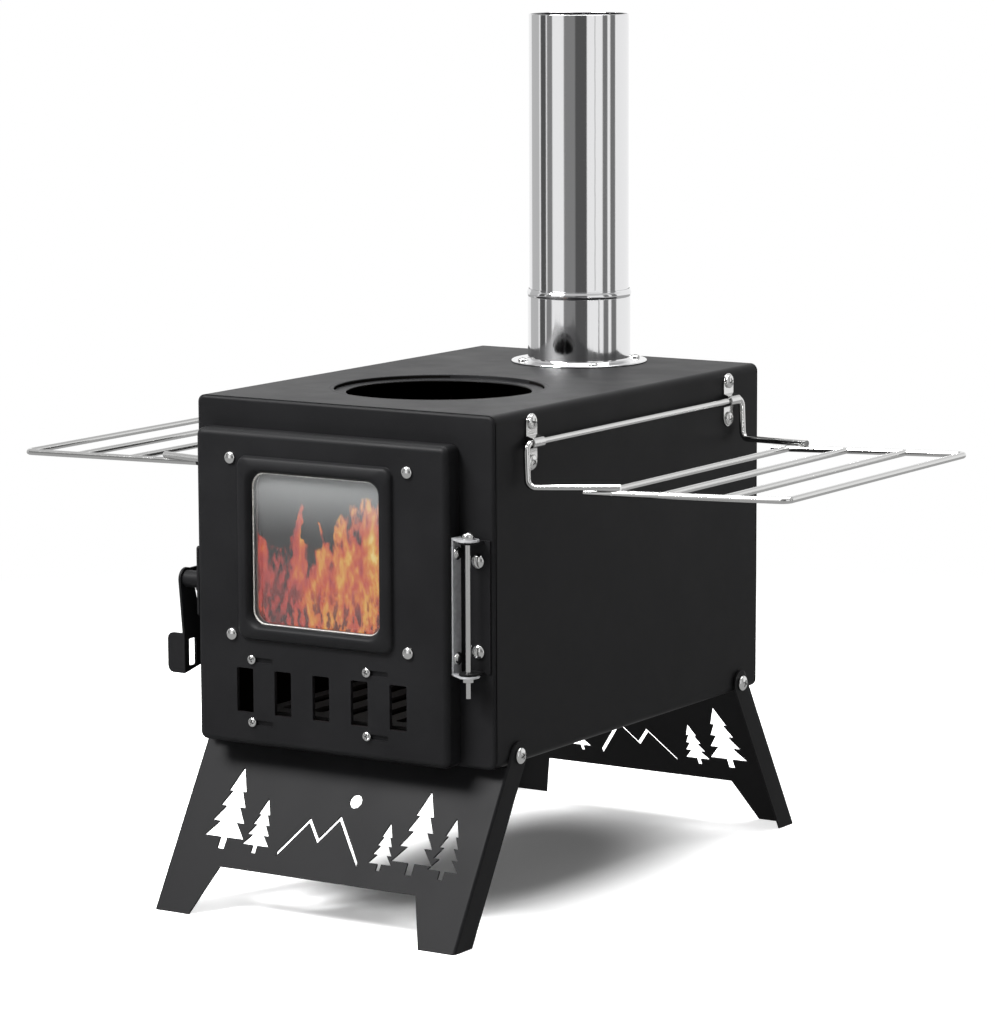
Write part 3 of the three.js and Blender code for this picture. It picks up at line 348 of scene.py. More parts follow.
@material_once
def black_stove_paint():
    """Heat-resistant silicone paint, sprayed on steel sheet and baked: a satin black whose fine
    orange peel breaks up its sheen, a little greyer where the coat is thin."""
    material, tree, output = new_material("black stove paint, sprayed")
    place = add_node(tree, "ShaderNodeTexCoord").outputs["Object"]
    # Orange peel of about 1.2 mm, drawn that coarse because the real 0.3 mm doesn't show.
    peel = add_node(
        tree, "ShaderNodeTexNoise", {"Vector": place, "Scale": 1 / (1.2 * MM), "Detail": 3.0, "Roughness": 0.55}
    )
    # Slow changes of the coat over about 60 mm.
    coat = add_node(
        tree, "ShaderNodeTexNoise", {"Vector": place, "Scale": 1 / (60 * MM), "Detail": 4.0, "Roughness": 0.6}
    )
    paint = finishes().paint
    thin = [min(1.0, c * 1.25) for c in paint[:3]]
    colour = ramp(tree, coat.outputs["Fac"], [(0.35, tuple(paint)), (0.7, (*thin, 1.0))])
    gloss = add_node(
        tree,
        "ShaderNodeMapRange",
        {"Value": coat.outputs["Fac"], "From Min": 0.3, "From Max": 0.7, "To Min": 0.44, "To Max": 0.54},
    )
    bump = add_node(tree, "ShaderNodeBump", {"Strength": 0.25, "Distance": 0.06 * MM, "Height": peel.outputs["Fac"]})
    coated = add_node(
        tree,
        "ShaderNodeBsdfPrincipled",
        {
            "Base Color": colour,
            "Roughness": gloss.outputs["Result"],
            "Specular IOR Level": finishes().paint_gloss,
            "Normal": bump.outputs["Normal"],
        },
    )
    # The dry spray is duller seen square on than along the surface.
    matt = add_node(tree, "ShaderNodeBsdfDiffuse", {"Color": colour, "Normal": bump.outputs["Normal"]})
    along = add_node(tree, "ShaderNodeLayerWeight", {"Blend": 0.5})
    shine = add_node(
        tree,
        "ShaderNodeMapRange",
        {"Value": along.outputs["Facing"], "From Min": 0.3, "From Max": 0.78, "To Min": 0.55, "To Max": 1.0},
    )
    coated = add_node(tree, "ShaderNodeMixShader", {0: shine.outputs[0], 1: matt.outputs[0], 2: coated.outputs[0]})
    # Inside the firebox the inward faces are a darker matt black: soot, and painted shade that keeps the light falling
    # in through the cooking hole from showing.
    low, high = corners("body_wrap")
    split = add_node(tree, "ShaderNodeSeparateXYZ", {"Vector": place}).outputs
    inside = None
    for axis, start, end in (("X", low.x, high.x), ("Y", low.y, high.y), ("Z", low.z, high.z)):
        off = add_node(tree, "ShaderNodeMath", {0: split[axis], 1: (start + end) / 2}, operation="SUBTRACT")
        away = add_node(tree, "ShaderNodeMath", {0: off.outputs[0]}, operation="ABSOLUTE")
        near = add_node(
            tree, "ShaderNodeMath", {0: away.outputs[0], 1: (end - start) / 2 - 0.8 * MM}, operation="LESS_THAN"
        )
        if inside is None:
            inside = near.outputs[0]
        else:
            inside = add_node(tree, "ShaderNodeMath", {0: inside, 1: near.outputs[0]}, operation="MULTIPLY").outputs[0]
    facing = add_node(
        tree,
        "ShaderNodeVectorMath",
        {
            0: add_node(tree, "ShaderNodeNewGeometry").outputs["True Normal"],
            1: add_node(
                tree, "ShaderNodeVectorMath", {0: tuple((low + high) / 2), 1: place}, operation="SUBTRACT"
            ).outputs[0],
        },
        operation="DOT_PRODUCT",
    )
    inward = add_node(tree, "ShaderNodeMath", {0: facing.outputs["Value"], 1: 0.0}, operation="GREATER_THAN")
    inside = add_node(tree, "ShaderNodeMath", {0: inside, 1: inward.outputs[0]}, operation="MULTIPLY").outputs[0]
    soot_and_painted_shade = add_node(tree, "ShaderNodeBsdfDiffuse", {"Color": linear("0a0908"), "Normal": bump.outputs["Normal"]})
    shader = add_node(tree, "ShaderNodeMixShader", {0: inside, 1: coated.outputs[0], 2: soot_and_painted_shade.outputs["BSDF"]})
    tree.links.new(shader.outputs[0], output.inputs["Surface"])
    return material


def bright_metal(name, colour, grain, detail, dullest, relief):
    """Metal that mirrors. A noise whose grain is given in metres along X, Y and Z sets how dull
    it is, from the first to the second roughness, and raises it by a strength and a distance."""
    material, tree, output = new_material(name)
    place = add_node(tree, "ShaderNodeTexCoord").outputs["Object"]
    stretched = add_node(tree, "ShaderNodeMapping", {"Vector": place, "Scale": tuple(1 / size for size in grain)})
    pattern = add_node(
        tree, "ShaderNodeTexNoise", {"Vector": stretched.outputs["Vector"], "Scale": 1.0, "Detail": detail}
    ).outputs["Fac"]
    clear, dull = dullest
    span = {"Value": pattern, "From Min": 0.3, "From Max": 0.7, "To Min": clear, "To Max": dull}
    gloss = add_node(tree, "ShaderNodeMapRange", span)
    strength, distance = relief
    bump = add_node(tree, "ShaderNodeBump", {"Strength": strength, "Distance": distance, "Height": pattern})
    look = {"Metallic": 1.0, "Roughness": gloss.outputs["Result"], "Normal": bump.outputs["Normal"]}
    shader = add_node(tree, "ShaderNodeBsdfPrincipled", {"Base Color": tuple(colour), **look})
    tree.links.new(shader.outputs["BSDF"], output.inputs["Surface"])
    return material


@material_once
def polished_stainless():
    """Stainless tube, rolled from mirror-finished strip: clear reflections, with long faint
    streaks from the rolls that run up the pipe, about 2 mm apart and some 200 mm long."""
    grain = (2 * MM, 2 * MM, 200 * MM)
    return bright_metal(
        "stainless steel, mirror rolled", finishes().stainless, grain, 3.0, (0.05, 0.1), (0.12, 0.03 * MM)
    )


@material_once
def nickel_plate():
    """Drawn wire, clips and screws in bright nickel plate: sharp highlights, slightly warm, with
    faint dulling where the bath left it, in clouds of about 9 mm."""
    grain = (9 * MM,) * 3
    return bright_metal("nickel plate, bright", finishes().nickel, grain, 4.0, (0.07, 0.16), (0.1, 0.05 * MM))


@material_once
def zinc_plate():
    """Pressed brackets in dull zinc plate: grey, with a fine cloudy spangle and soft gloss."""
    material, tree, output = new_material("zinc plate, dull")
    place = add_node(tree, "ShaderNodeTexCoord").outputs["Object"]
    spangle = add_node(tree, "ShaderNodeTexVoronoi", {"Vector": place, "Scale": 1 / (4 * MM), "Randomness": 1.0})
    zinc = finishes().zinc
    dark = (*[c * 0.8 for c in zinc[:3]], 1.0)
    colour = ramp(tree, spangle.outputs["Distance"], [(0.1, tuple(zinc)), (0.8, dark)])
    gloss = add_node(
        tree,
        "ShaderNodeMapRange",
        {"Value": spangle.outputs["Distance"], "From Max": 0.8, "To Min": 0.34, "To Max": 0.48},
    )
    shader = add_node(
        tree,
        "ShaderNodeBsdfPrincipled",
        {"Base Color": colour, "Metallic": 0.55, "Roughness": gloss.outputs["Result"]},
    )
    tree.links.new(shader.outputs["BSDF"], output.inputs["Surface"])
    return material


@material_once
def fire_glass():
    """Ceramic fire glass, drawn flat: clear, with a pale haze of fly ash baked on and painted glare over it,
    both thickest near the top, which veil the fire behind it."""
    material, tree, output = new_material("ceramic fire glass, hazed")
    place = add_node(tree, "ShaderNodeTexCoord").outputs["Object"]
    low, high = corners("window_glass")
    height = add_node(tree, "ShaderNodeSeparateXYZ", {"Vector": place}).outputs["Z"]
    clouds = add_node(tree, "ShaderNodeTexNoise", {"Vector": place, "Scale": 1 / (40 * MM), "Detail": 2.0})
    # The haze grows towards the top of the glass: fly ash, with painted glare laid over it.
    rise = add_node(
        tree,
        "ShaderNodeMapRange",
        {"Value": height, "From Min": low.z + 72 * MM, "From Max": high.z, "To Min": 0.03, "To Max": 0.35},
        interpolation_type="SMOOTHSTEP",
    )
    # The haze lies on the outer face alone, so light in the firebox doesn't show on it.
    outer = add_node(
        tree, "ShaderNodeMath", {0: 1.0, 1: add_node(tree, "ShaderNodeNewGeometry").outputs["Backfacing"]},
        operation="SUBTRACT",
    )
    haze_and_painted_glare = add_node(
        tree,
        "ShaderNodeMath",
        {0: clouds.outputs["Fac"], 1: 0.04, 2: rise.outputs["Result"]},
        operation="MULTIPLY_ADD",
    )
    clear = add_node(tree, "ShaderNodeBsdfTransparent")
    haze = add_node(tree, "ShaderNodeBsdfDiffuse", {"Color": tuple(finishes().haze)})
    gloss = add_node(tree, "ShaderNodeBsdfGlossy", {"Roughness": 0.12})
    outer_haze_and_glare = add_node(tree, "ShaderNodeMath", {0: haze_and_painted_glare.outputs[0], 1: outer.outputs[0]}, operation="MULTIPLY")
    hazed = add_node(tree, "ShaderNodeMixShader", {0: outer_haze_and_glare.outputs[0], 1: clear.outputs[0], 2: haze.outputs[0]})
    edge = add_node(tree, "ShaderNodeFresnel", {"IOR": 1.5})
    shader = add_node(tree, "ShaderNodeMixShader", {0: edge.outputs[0], 1: hazed.outputs[0], 2: gloss.outputs[0]})
    tree.links.new(shader.outputs[0], output.inputs["Surface"])
    return material


@material_once
def glass_rope():
    """Rope and tape knitted from glass yarn: pale grey, matt, with its stitches about 2 mm apart."""
    material, tree, output = new_material("glass yarn, knitted")
    place = add_node(tree, "ShaderNodeTexCoord").outputs["Object"]
    stitches = add_node(tree, "ShaderNodeTexVoronoi", {"Vector": place, "Scale": 1 / (2 * MM), "Randomness": 0.6})
    colour = ramp(tree, stitches.outputs["Distance"], [(0.0, linear("d6d5d1")), (0.7, linear("9c9a95"))])
    bump = add_node(
        tree,
        "ShaderNodeBump",
        {"Strength": 0.6, "Distance": 0.5 * MM, "Height": stitches.outputs["Distance"]},
        invert=True,
    )
    shader = add_node(
        tree,
        "ShaderNodeBsdfPrincipled",
        {"Base Color": colour, "Roughness": 0.9, "Specular IOR Level": 0.2, "Normal": bump.outputs["Normal"]},
    )
    tree.links.new(shader.outputs["BSDF"], output.inputs["Surface"])
    return material


@material_once
def cast_iron():
    """Grey iron, sand cast: a coarse matt skin with grains near 1.5 mm, dusted with ash."""
    material, tree, output = new_material("grey iron, sand cast")
    place = add_node(tree, "ShaderNodeTexCoord").outputs["Object"]
    grains = add_node(tree, "ShaderNodeTexNoise", {"Vector": place, "Scale": 1 / (1.5 * MM), "Detail": 4.0})
    ash = add_node(tree, "ShaderNodeTexNoise", {"Vector": place, "Scale": 1 / (25 * MM), "Detail": 3.0})
    colour = ramp(tree, ash.outputs["Fac"], [(0.45, linear("0c0b0b")), (0.8, linear("1d1b1a"))])
    bump = add_node(tree, "ShaderNodeBump", {"Strength": 0.5, "Distance": 0.4 * MM, "Height": grains.outputs["Fac"]})
    shader = add_node(
        tree,
        "ShaderNodeBsdfPrincipled",
        {"Base Color": colour, "Metallic": 0.4, "Roughness": 0.8, "Normal": bump.outputs["Normal"]},
    )
    tree.links.new(shader.outputs["BSDF"], output.inputs["Surface"])
    return material


# ---------------------------------------------------------------- geometry node trees


def tree_input(tree, name, kind, value):
    """Adds a named input to a geometry node tree."""
    socket = tree.interface.new_socket(name, in_out="INPUT", socket_type=kind)
    if value is not None:
        socket.default_value = value


def fastener_tree(recessed):
    """Domed heads with a plain shank, one at each point, facing along the point's own direction
    and turned by a fixed seed. Recessed ones have a cross cut in the head."""
    title = "Cross-recessed fasteners" if recessed else "Domed fasteners"
    if title in bpy.data.node_groups:
        return bpy.data.node_groups[title]
    tree = bpy.data.node_groups.new(title, "GeometryNodeTree")
    tree_input(tree, "Geometry", "NodeSocketGeometry", None)
    tree_input(tree, "Head Radius", "NodeSocketFloat", 5 * MM)
    tree_input(tree, "Head Height", "NodeSocketFloat", 3 * MM)
    tree_input(tree, "Head Rim", "NodeSocketFloat", 0.7 * MM)
    tree_input(tree, "Shank Radius", "NodeSocketFloat", 2.5 * MM)
    tree_input(tree, "Shank Length", "NodeSocketFloat", 6 * MM)
    if recessed:
        tree_input(tree, "Recess Width", "NodeSocketFloat", 1.2 * MM)
        tree_input(tree, "Recess Span", "NodeSocketFloat", 5 * MM)
        tree_input(tree, "Recess Depth", "NodeSocketFloat", 1.5 * MM)
    tree_input(tree, "Seed", "NodeSocketInt", 1)
    tree_input(tree, "Material", "NodeSocketMaterial", None)
    tree.interface.new_socket("Geometry", in_out="OUTPUT", socket_type="NodeSocketGeometry")
    given = add_node(tree, "NodeGroupInput").outputs

    # The head: a sphere whose lower half is pressed flat, scaled to the head's height over its rim.
    ball = add_node(tree, "GeometryNodeMeshUVSphere", {"Segments": 28, "Rings": 18, "Radius": given["Head Radius"]})
    place = add_node(tree, "GeometryNodeInputPosition")
    split = add_node(tree, "ShaderNodeSeparateXYZ", {"Vector": place.outputs[0]})
    dome = add_node(tree, "ShaderNodeMath", {0: given["Head Height"], 1: given["Head Rim"]}, operation="SUBTRACT")
    squeeze = add_node(tree, "ShaderNodeMath", {0: dome.outputs[0], 1: given["Head Radius"]}, operation="DIVIDE")
    lifted = add_node(
        tree,
        "ShaderNodeMath",
        {0: split.outputs["Z"], 1: squeeze.outputs[0], 2: given["Head Rim"]},
        operation="MULTIPLY_ADD",
    )
    above = add_node(tree, "FunctionNodeCompare", {"A": split.outputs["Z"], "B": -1e-6}, operation="GREATER_THAN")
    level = add_node(
        tree,
        "GeometryNodeSwitch",
        {"Switch": above.outputs[0], "False": 0.0, "True": lifted.outputs[0]},
        input_type="FLOAT",
    )
    flat = add_node(
        tree,
        "ShaderNodeCombineXYZ",
        {"X": split.outputs["X"], "Y": split.outputs["Y"], "Z": level.outputs[0]},
    )
    head = add_node(tree, "GeometryNodeSetPosition", {"Geometry": ball.outputs["Mesh"], "Position": flat.outputs[0]})

    heads = head.outputs[0]
    if recessed:
        # The recess: two bars that cross at the top of the head.
        bars = []
        for swap in (False, True):
            size = {"Z": given["Recess Depth"]}
            size["Y" if swap else "X"] = given["Recess Span"]
            size["X" if swap else "Y"] = given["Recess Width"]
            bar = add_node(
                tree, "GeometryNodeMeshCube", {"Size": add_node(tree, "ShaderNodeCombineXYZ", size).outputs[0]}
            )
            bars.append(bar.outputs["Mesh"])
        top = add_node(tree, "ShaderNodeCombineXYZ", {"Z": given["Head Height"]})
        cross = add_node(tree, "GeometryNodeMeshBoolean", {"Mesh 2": bars[0]}, operation="UNION")
        tree.links.new(bars[1], cross.inputs["Mesh 2"])
        cross_top = add_node(
            tree, "GeometryNodeTransform", {"Geometry": cross.outputs["Mesh"], "Translation": top.outputs[0]}
        )
        cut = add_node(
            tree,
            "GeometryNodeMeshBoolean",
            {"Mesh 1": heads, "Mesh 2": cross_top.outputs[0]},
            operation="DIFFERENCE",
        )
        heads = cut.outputs["Mesh"]

    # The shank, from just inside the head down to its end.
    shank = add_node(
        tree,
        "GeometryNodeMeshCylinder",
        {"Vertices": 20, "Radius": given["Shank Radius"], "Depth": given["Shank Length"]},
    )
    half = add_node(tree, "ShaderNodeMath", {0: given["Shank Length"], 1: -0.5}, operation="MULTIPLY")
    sunk = add_node(tree, "ShaderNodeMath", {0: half.outputs[0], 1: given["Head Rim"]}, operation="ADD")
    down = add_node(tree, "ShaderNodeCombineXYZ", {"Z": sunk.outputs[0]})
    shank_down = add_node(
        tree, "GeometryNodeTransform", {"Geometry": shank.outputs["Mesh"], "Translation": down.outputs[0]}
    )
    whole = add_node(tree, "GeometryNodeJoinGeometry", {"Geometry": heads})
    tree.links.new(shank_down.outputs[0], whole.inputs["Geometry"])

    # One at each point, its head along the point's own direction.
    facing = add_node(tree, "GeometryNodeInputNamedAttribute", {"Name": "facing"}, data_type="FLOAT_VECTOR")
    turn = add_node(
        tree,
        "FunctionNodeRandomValue",
        {"Min": 0.0, "Max": math.pi, "Seed": given["Seed"]},
        data_type="FLOAT",
    )
    about = add_node(tree, "ShaderNodeCombineXYZ", {"Z": turn.outputs[1]})
    spun = add_node(tree, "FunctionNodeEulerToRotation", {"Euler": about.outputs[0]})
    aimed = add_node(tree, "FunctionNodeAlignRotationToVector", {"Vector": facing.outputs["Attribute"]}, axis="Z")
    both = add_node(
        tree,
        "FunctionNodeRotateRotation",
        {"Rotation": aimed.outputs[0], "Rotate By": spun.outputs[0]},
        rotation_space="LOCAL",
    )
    copies = add_node(
        tree,
        "GeometryNodeInstanceOnPoints",
        {"Points": given["Geometry"], "Instance": whole.outputs[0], "Rotation": both.outputs[0]},
    )
    real = add_node(tree, "GeometryNodeRealizeInstances", {"Geometry": copies.outputs[0]})
    coated = add_node(tree, "GeometryNodeSetMaterial", {"Geometry": real.outputs[0], "Material": given["Material"]})
    result = add_node(tree, "NodeGroupOutput")
    tree.links.new(coated.outputs[0], result.inputs[0])
    return tree


def bent_wire_tree():
    """Round wire along every chain of edges, its corners bent to a radius and its ends closed."""
    if "Bent wire" in bpy.data.node_groups:
        return bpy.data.node_groups["Bent wire"]
    tree = bpy.data.node_groups.new("Bent wire", "GeometryNodeTree")
    tree_input(tree, "Geometry", "NodeSocketGeometry", None)
    tree_input(tree, "Wire Radius", "NodeSocketFloat", 2.5 * MM)
    tree_input(tree, "Bend Radius", "NodeSocketFloat", 6 * MM)
    tree_input(tree, "Bend Steps", "NodeSocketInt", 8)
    tree_input(tree, "Material", "NodeSocketMaterial", None)
    tree.interface.new_socket("Geometry", in_out="OUTPUT", socket_type="NodeSocketGeometry")
    given = add_node(tree, "NodeGroupInput").outputs
    route = add_node(tree, "GeometryNodeMeshToCurve", {"Mesh": given["Geometry"]})
    bent = add_node(
        tree,
        "GeometryNodeFilletCurve",
        {
            "Curve": route.outputs[0],
            "Count": given["Bend Steps"],
            "Radius": given["Bend Radius"],
            "Limit Radius": True,
        },
        mode="POLY",
    )
    section = add_node(tree, "GeometryNodeCurvePrimitiveCircle", {"Resolution": 20, "Radius": given["Wire Radius"]})
    tube = add_node(
        tree,
        "GeometryNodeCurveToMesh",
        {"Curve": bent.outputs[0], "Profile Curve": section.outputs[0], "Fill Caps": True},
    )
    real = add_node(tree, "GeometryNodeRealizeInstances", {"Geometry": tube.outputs[0]})
    coated = add_node(tree, "GeometryNodeSetMaterial", {"Geometry": real.outputs[0], "Material": given["Material"]})
    result = add_node(tree, "NodeGroupOutput")
    tree.links.new(coated.outputs[0], result.inputs[0])
    return tree


def grown(piece, tree, **inputs):
    """Runs a geometry node tree on the piece and keeps the result as its mesh."""
    modifier = piece.modifiers.new(tree.name, "NODES")
    modifier.node_group = tree
    for item in tree.interface.items_tree:
        if item.item_type == "SOCKET" and item.in_out == "INPUT" and item.name in inputs:
            modifier[item.identifier] = inputs[item.name]
    piece.update_tag()
    return settle(piece)


def fasteners(name, nodes, side, material, body, recess=None, rim=0.7 * MM, seed=1):
    """One mesh of fasteners that stand for packed ones of one size. Their head radius, height and
    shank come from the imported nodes, whose heads face one side."""
    facing = OUTWARD[side]
    axis = max(range(3), key=lambda i: abs(facing[i]))
    sign = 1 if facing[axis] > 0 else -1
    sample = frame["nodes"][nodes[0]].data
    centre = middle(nodes[0])
    reach = []
    for vertex in sample.vertices:
        away = vertex.co - centre
        away[axis] = 0
        reach.append((vertex.co[axis] * sign, away.length))
    top = max(height for height, _ in reach)
    end = min(height for height, _ in reach)
    head_radius = max(radius for _, radius in reach)
    seat = min(height for height, radius in reach if radius > 0.9 * head_radius)
    shank_radius = max(radius for height, radius in reach if height < seat - 0.1 * MM)
    points = bpy.data.meshes.new(name)
    places = []
    for node in nodes:
        at = middle(node)
        low, high = corners(node)
        outer = high[axis] if sign > 0 else low[axis]
        at[axis] = outer - sign * (top - seat)
        places.append(at)
    points.from_pydata(places, [], [])
    attribute = points.attributes.new("facing", "FLOAT_VECTOR", "POINT")
    for entry in attribute.data:
        entry.vector = facing
    span, width, depth = recess or (0, 0, 0)
    piece = grown(
        add_object(name, points),
        fastener_tree(bool(recess)),
        **{
            "Head Radius": head_radius,
            "Head Height": top - seat,
            "Head Rim": rim,
            "Shank Radius": shank_radius,
            "Shank Length": seat - end + rim,
            "Recess Width": width,
            "Recess Span": span,
            "Recess Depth": 2 * depth,
            "Seed": seed,
            "Material": material,
        },
    )
    return finish_piece(piece, material, body, nodes, 35)


# ---------------------------------------------------------------- firebox


def body_shell():
    """The bent body: a tube with rounded bends, a pressed cooking hole and a hole for the flue."""
    size = sizes()
    low, high = corners("body_wrap")
    half_x = (high.x - low.x) / 2
    half_z = (high.z - low.z) / 2
    centre = (low + high) / 2
    top_outer = size.cook_hole + size.cook_ledge + size.sheet

    def tube(shape):
        loops = []
        for y, inset in ((low.y, 0), (high.y, 0), (high.y, size.sheet), (low.y, size.sheet)):
            bend = size.body_bend - inset
            loops.append(rounded_loop(centre.x, centre.z, half_x - inset, half_z - inset, bend, y, 14))
        skin(shape, loops, closed=True)

    piece = add_object("body_shell", mesh_of("body_shell", tube))
    cook = cook_centre()
    flue = middle("chimney_pipe")
    flue_hole = (corners("chimney_pipe")[1].x - corners("chimney_pipe")[0].x) / 2 - 3 * MM

    def plug(centre_at, radius):
        def build(shape):
            rings = turned_loops([(radius, high.z - 4 * size.sheet), (radius, high.z + size.sheet)], centre_at, 160)
            skin(shape, rings, start_cap=True, end_cap=True)

        return build

    cut_away(piece, plug(cook, top_outer + 2 * MM))
    cut_away(piece, plug(flue, flue_hole))
    ring = add_object("cook_ring", mesh_of("cook_ring", pressed_ring(cook, high.z, top_outer + 2 * MM)))
    return join_meshes(piece, ring)


def cook_centre():
    """The cooking hole's centre, from the mount on its ledge."""
    ledge = next(m for m in frame["record"]["mounts"] if m["name"] == "lid_ledge")
    at = Vector(ledge["pos_m"])
    return Vector((0, at.y, at.z))


def pressed_ring(centre, top, outer):
    """The pressed seat of the cooking hole: a soft step down to a flat ledge and a rolled lip."""
    size = sizes()
    ledge = top - size.cook_recess
    inner = size.cook_hole
    step = inner + size.cook_ledge
    profile = [(outer, top - size.sheet), (outer, top)]
    profile += [(step + 1.4 * MM, top)]
    profile += arc_points(step + 1.4 * MM, top - 0.7 * MM, 0.7 * MM, 90, 170, 6)[1:]
    profile += arc_points(step - 0.2 * MM, ledge + 0.6 * MM, 0.6 * MM, -10, -90, 6)
    profile += [(inner + 1.0 * MM, ledge)]
    profile += arc_points(inner + 1.0 * MM, ledge - 1.0 * MM, 1.0 * MM, 90, 180, 6)[1:]
    profile += [(inner, ledge - size.sheet), (step, ledge - size.sheet), (step + size.sheet, top - size.sheet)]

    def build(shape):
        skin(shape, turned_loops(profile, centre, 160), closed=True)

    return build


def join_meshes(piece, *others):
    """Adds the others' meshes to the piece's mesh."""
    shape = bmesh.new()
    shape.from_mesh(piece.data)
    for other in others:
        shape.from_mesh(other.data)
        mesh = other.data
        bpy.data.objects.remove(other)
        bpy.data.meshes.remove(mesh)
    shape.to_mesh(piece.data)
    shape.free()
    return piece


def end_plate(node, sign, opening=None):
    """An end plate with a softly rounded outer edge and a rim that slides into the body. Sign is -1
    for the front. An opening is (centre x, centre z, half x, half z, corner radius)."""
    size = sizes()
    low, high = corners(node)
    centre = (low + high) / 2
    half_x = (high.x - low.x) / 2
    half_z = (high.z - low.z) / 2
    outer = high.y if sign > 0 else low.y
    inner = outer - sign * size.sheet
    rim_end = low.y if sign > 0 else high.y
    gap = 0.3 * MM

    def around(y, inset):
        radius = max(size.body_bend - inset, 0.5 * MM)
        return rounded_loop(centre.x, centre.z, half_x - inset, half_z - inset, radius, y, 14)

    rim_outer = size.sheet + gap
    rim_inner = rim_outer + size.sheet
    rounding = arc_points(-size.end_round, -size.end_round, size.end_round, 0, 90, 6)
    loops = [around(rim_end, rim_outer), around(inner, rim_outer), around(inner, 0)]
    loops += [around(outer + sign * depth, -edge) for edge, depth in rounding]
    if opening:
        x, z, opening_x, opening_z, radius = opening
        lip = 0.5 * MM
        for depth, grow in ((0, lip), (0.15 * MM, 0.15 * MM), (lip, 0), (size.sheet, 0)):
            y = outer - sign * depth
            loops.append(rounded_loop(x, z, opening_x + grow, opening_z + grow, radius, y, 14))
    else:
        loops.append(around(outer, half_z - 2 * MM))
        loops.append(around(inner, half_z - 2 * MM))
    loops += [around(inner, rim_inner), around(rim_end, rim_inner)]

    def build(shape):
        if opening:
            skin(shape, loops, closed=True)
        else:
            skin(shape, loops[-2:] + loops[:-4])
            rings = list(shape.verts)
            count = len(loops[0])
            shape.faces.new(rings[:count])
            shape.faces.new(rings[-count:])
            bmesh.ops.recalc_face_normals(shape, faces=shape.faces)

    return add_object(node.replace("_plate", "_panel"), mesh_of(node, build))


class STOVE_OT_firebox(bpy.types.Operator):
    """Makes the bent body with its cooking hole, and the plates that close its ends"""

    bl_idname = "stove.firebox"
    bl_label = "Firebox"

    def execute(self, context):
        paint = black_stove_paint()
        shell = soften(body_shell(), 0.3 * MM, 2, 50)
        finish_piece(shell, paint, "stove", ["body_wrap"], 30)
        seal_low, seal_high = corners("door_rope_seal")
        inset = sizes().seal_width + sizes().seal_lap
        seal = (seal_low + seal_high) / 2
        half = (seal_high - seal_low) / 2
        opening = (seal.x, seal.z, half.x - inset, half.z - inset, 6 * MM)
        front = end_plate("front_plate", -1, opening)
        finish_piece(front, paint, "stove", ["front_plate"], 50)
        back = end_plate("back_plate", 1)
        finish_piece(back, paint, "stove", ["back_plate"], 50)
        reworked("fire_grate", "grate", cast_iron(), "grate", 0.5 * MM)
        return {"FINISHED"}


# ---------------------------------------------------------------- chimney


def turned_piece(name, profile, centre, steps=128):
    def build(shape):
        skin(shape, turned_loops(profile, centre, steps), closed=True)

    return add_object(name, mesh_of(name, build))


def pipe_profile():
    """The pipe's wall, with both ends rolled slightly round."""
    low, high = corners("chimney_pipe")
    outer = (high.x - low.x) / 2
    inner = outer - sizes().pipe_wall
    middle_radius = (outer + inner) / 2
    round_off = (outer - inner) / 2
    profile = [(outer, low.z + round_off)]
    profile += [(outer, high.z - round_off)]
    profile += arc_points(middle_radius, high.z - round_off, round_off, 0, 180, 8)[1:]
    profile += arc_points(middle_radius, low.z + round_off, round_off, 180, 360, 8)
    return profile


# The bulge near the collar's top: share of its height, and millimetres below the top.
BULGE = ((0.15, 5.9), (0.5, 5.2), (0.85, 4.4), (1.0, 3.6), (0.85, 2.8), (0.5, 2.0), (0.1, 1.3))


def collar_profile():
    """The collar: a flange with a turned-up edge, a fillet, the socket and its rolled upper rim."""
    low, high = corners("flue_collar")
    flange = (high.x - low.x) / 2
    bore = (corners("chimney_pipe")[1].x - corners("chimney_pipe")[0].x) / 2 + 0.3 * MM
    wall = sizes().pipe_wall
    sheet = sizes().sheet
    outer = bore + wall
    fillet = 2.5 * MM
    profile = [(bore, low.z + 0.2 * MM), (bore + 0.2 * MM, low.z), (flange - 0.3 * MM, low.z)]
    profile += arc_points(flange - sheet / 2, low.z + sheet / 2, sheet / 2, -90, 90, 8)
    profile += [(outer + fillet, low.z + sheet)]
    profile += arc_points(outer + fillet, low.z + sheet + fillet, fillet, 270, 180, 8)[1:]
    profile += [(outer, high.z - 6.4 * MM)]
    profile += [(outer + share * 0.8 * MM, high.z - down * MM) for share, down in BULGE]
    profile += [(outer - 0.1 * MM, high.z - 0.9 * MM), (outer - 0.3 * MM, high.z), (bore + 0.2 * MM, high.z)]
    profile += [(bore, high.z - 0.3 * MM)]
    return profile


def weld_seam(name, radius, centre, low, high, angle, width=1.4 * MM, proud=0.22 * MM):
    """A narrow ridge that runs up a tube where its edges were joined."""

    def build(shape):
        loops = []
        steps = 24
        for k in range(steps + 1):
            z = low + (high - low) * k / steps
            wander = 0.1 * MM * math.sin(k * 1.9)
            loop = []
            for u, v in arc_points(0, 0, 1, 0, 180, 6):
                turn = math.radians(angle) + (u * width / 2 + wander) / radius
                out = radius - 0.1 * MM + v * (proud + 0.1 * MM)
                loop.append(centre + Vector((math.cos(turn) * out, math.sin(turn) * out, 0)))
                loop[-1].z = z
            turn = math.radians(angle) + wander / radius
            inner = centre + Vector((math.cos(turn), math.sin(turn), 0)) * (radius - 0.4 * MM)
            inner.z = z
            loops.append(loop + [inner])
        skin(shape, loops, start_cap=True, end_cap=True)

    return add_object(name, mesh_of(name, build))


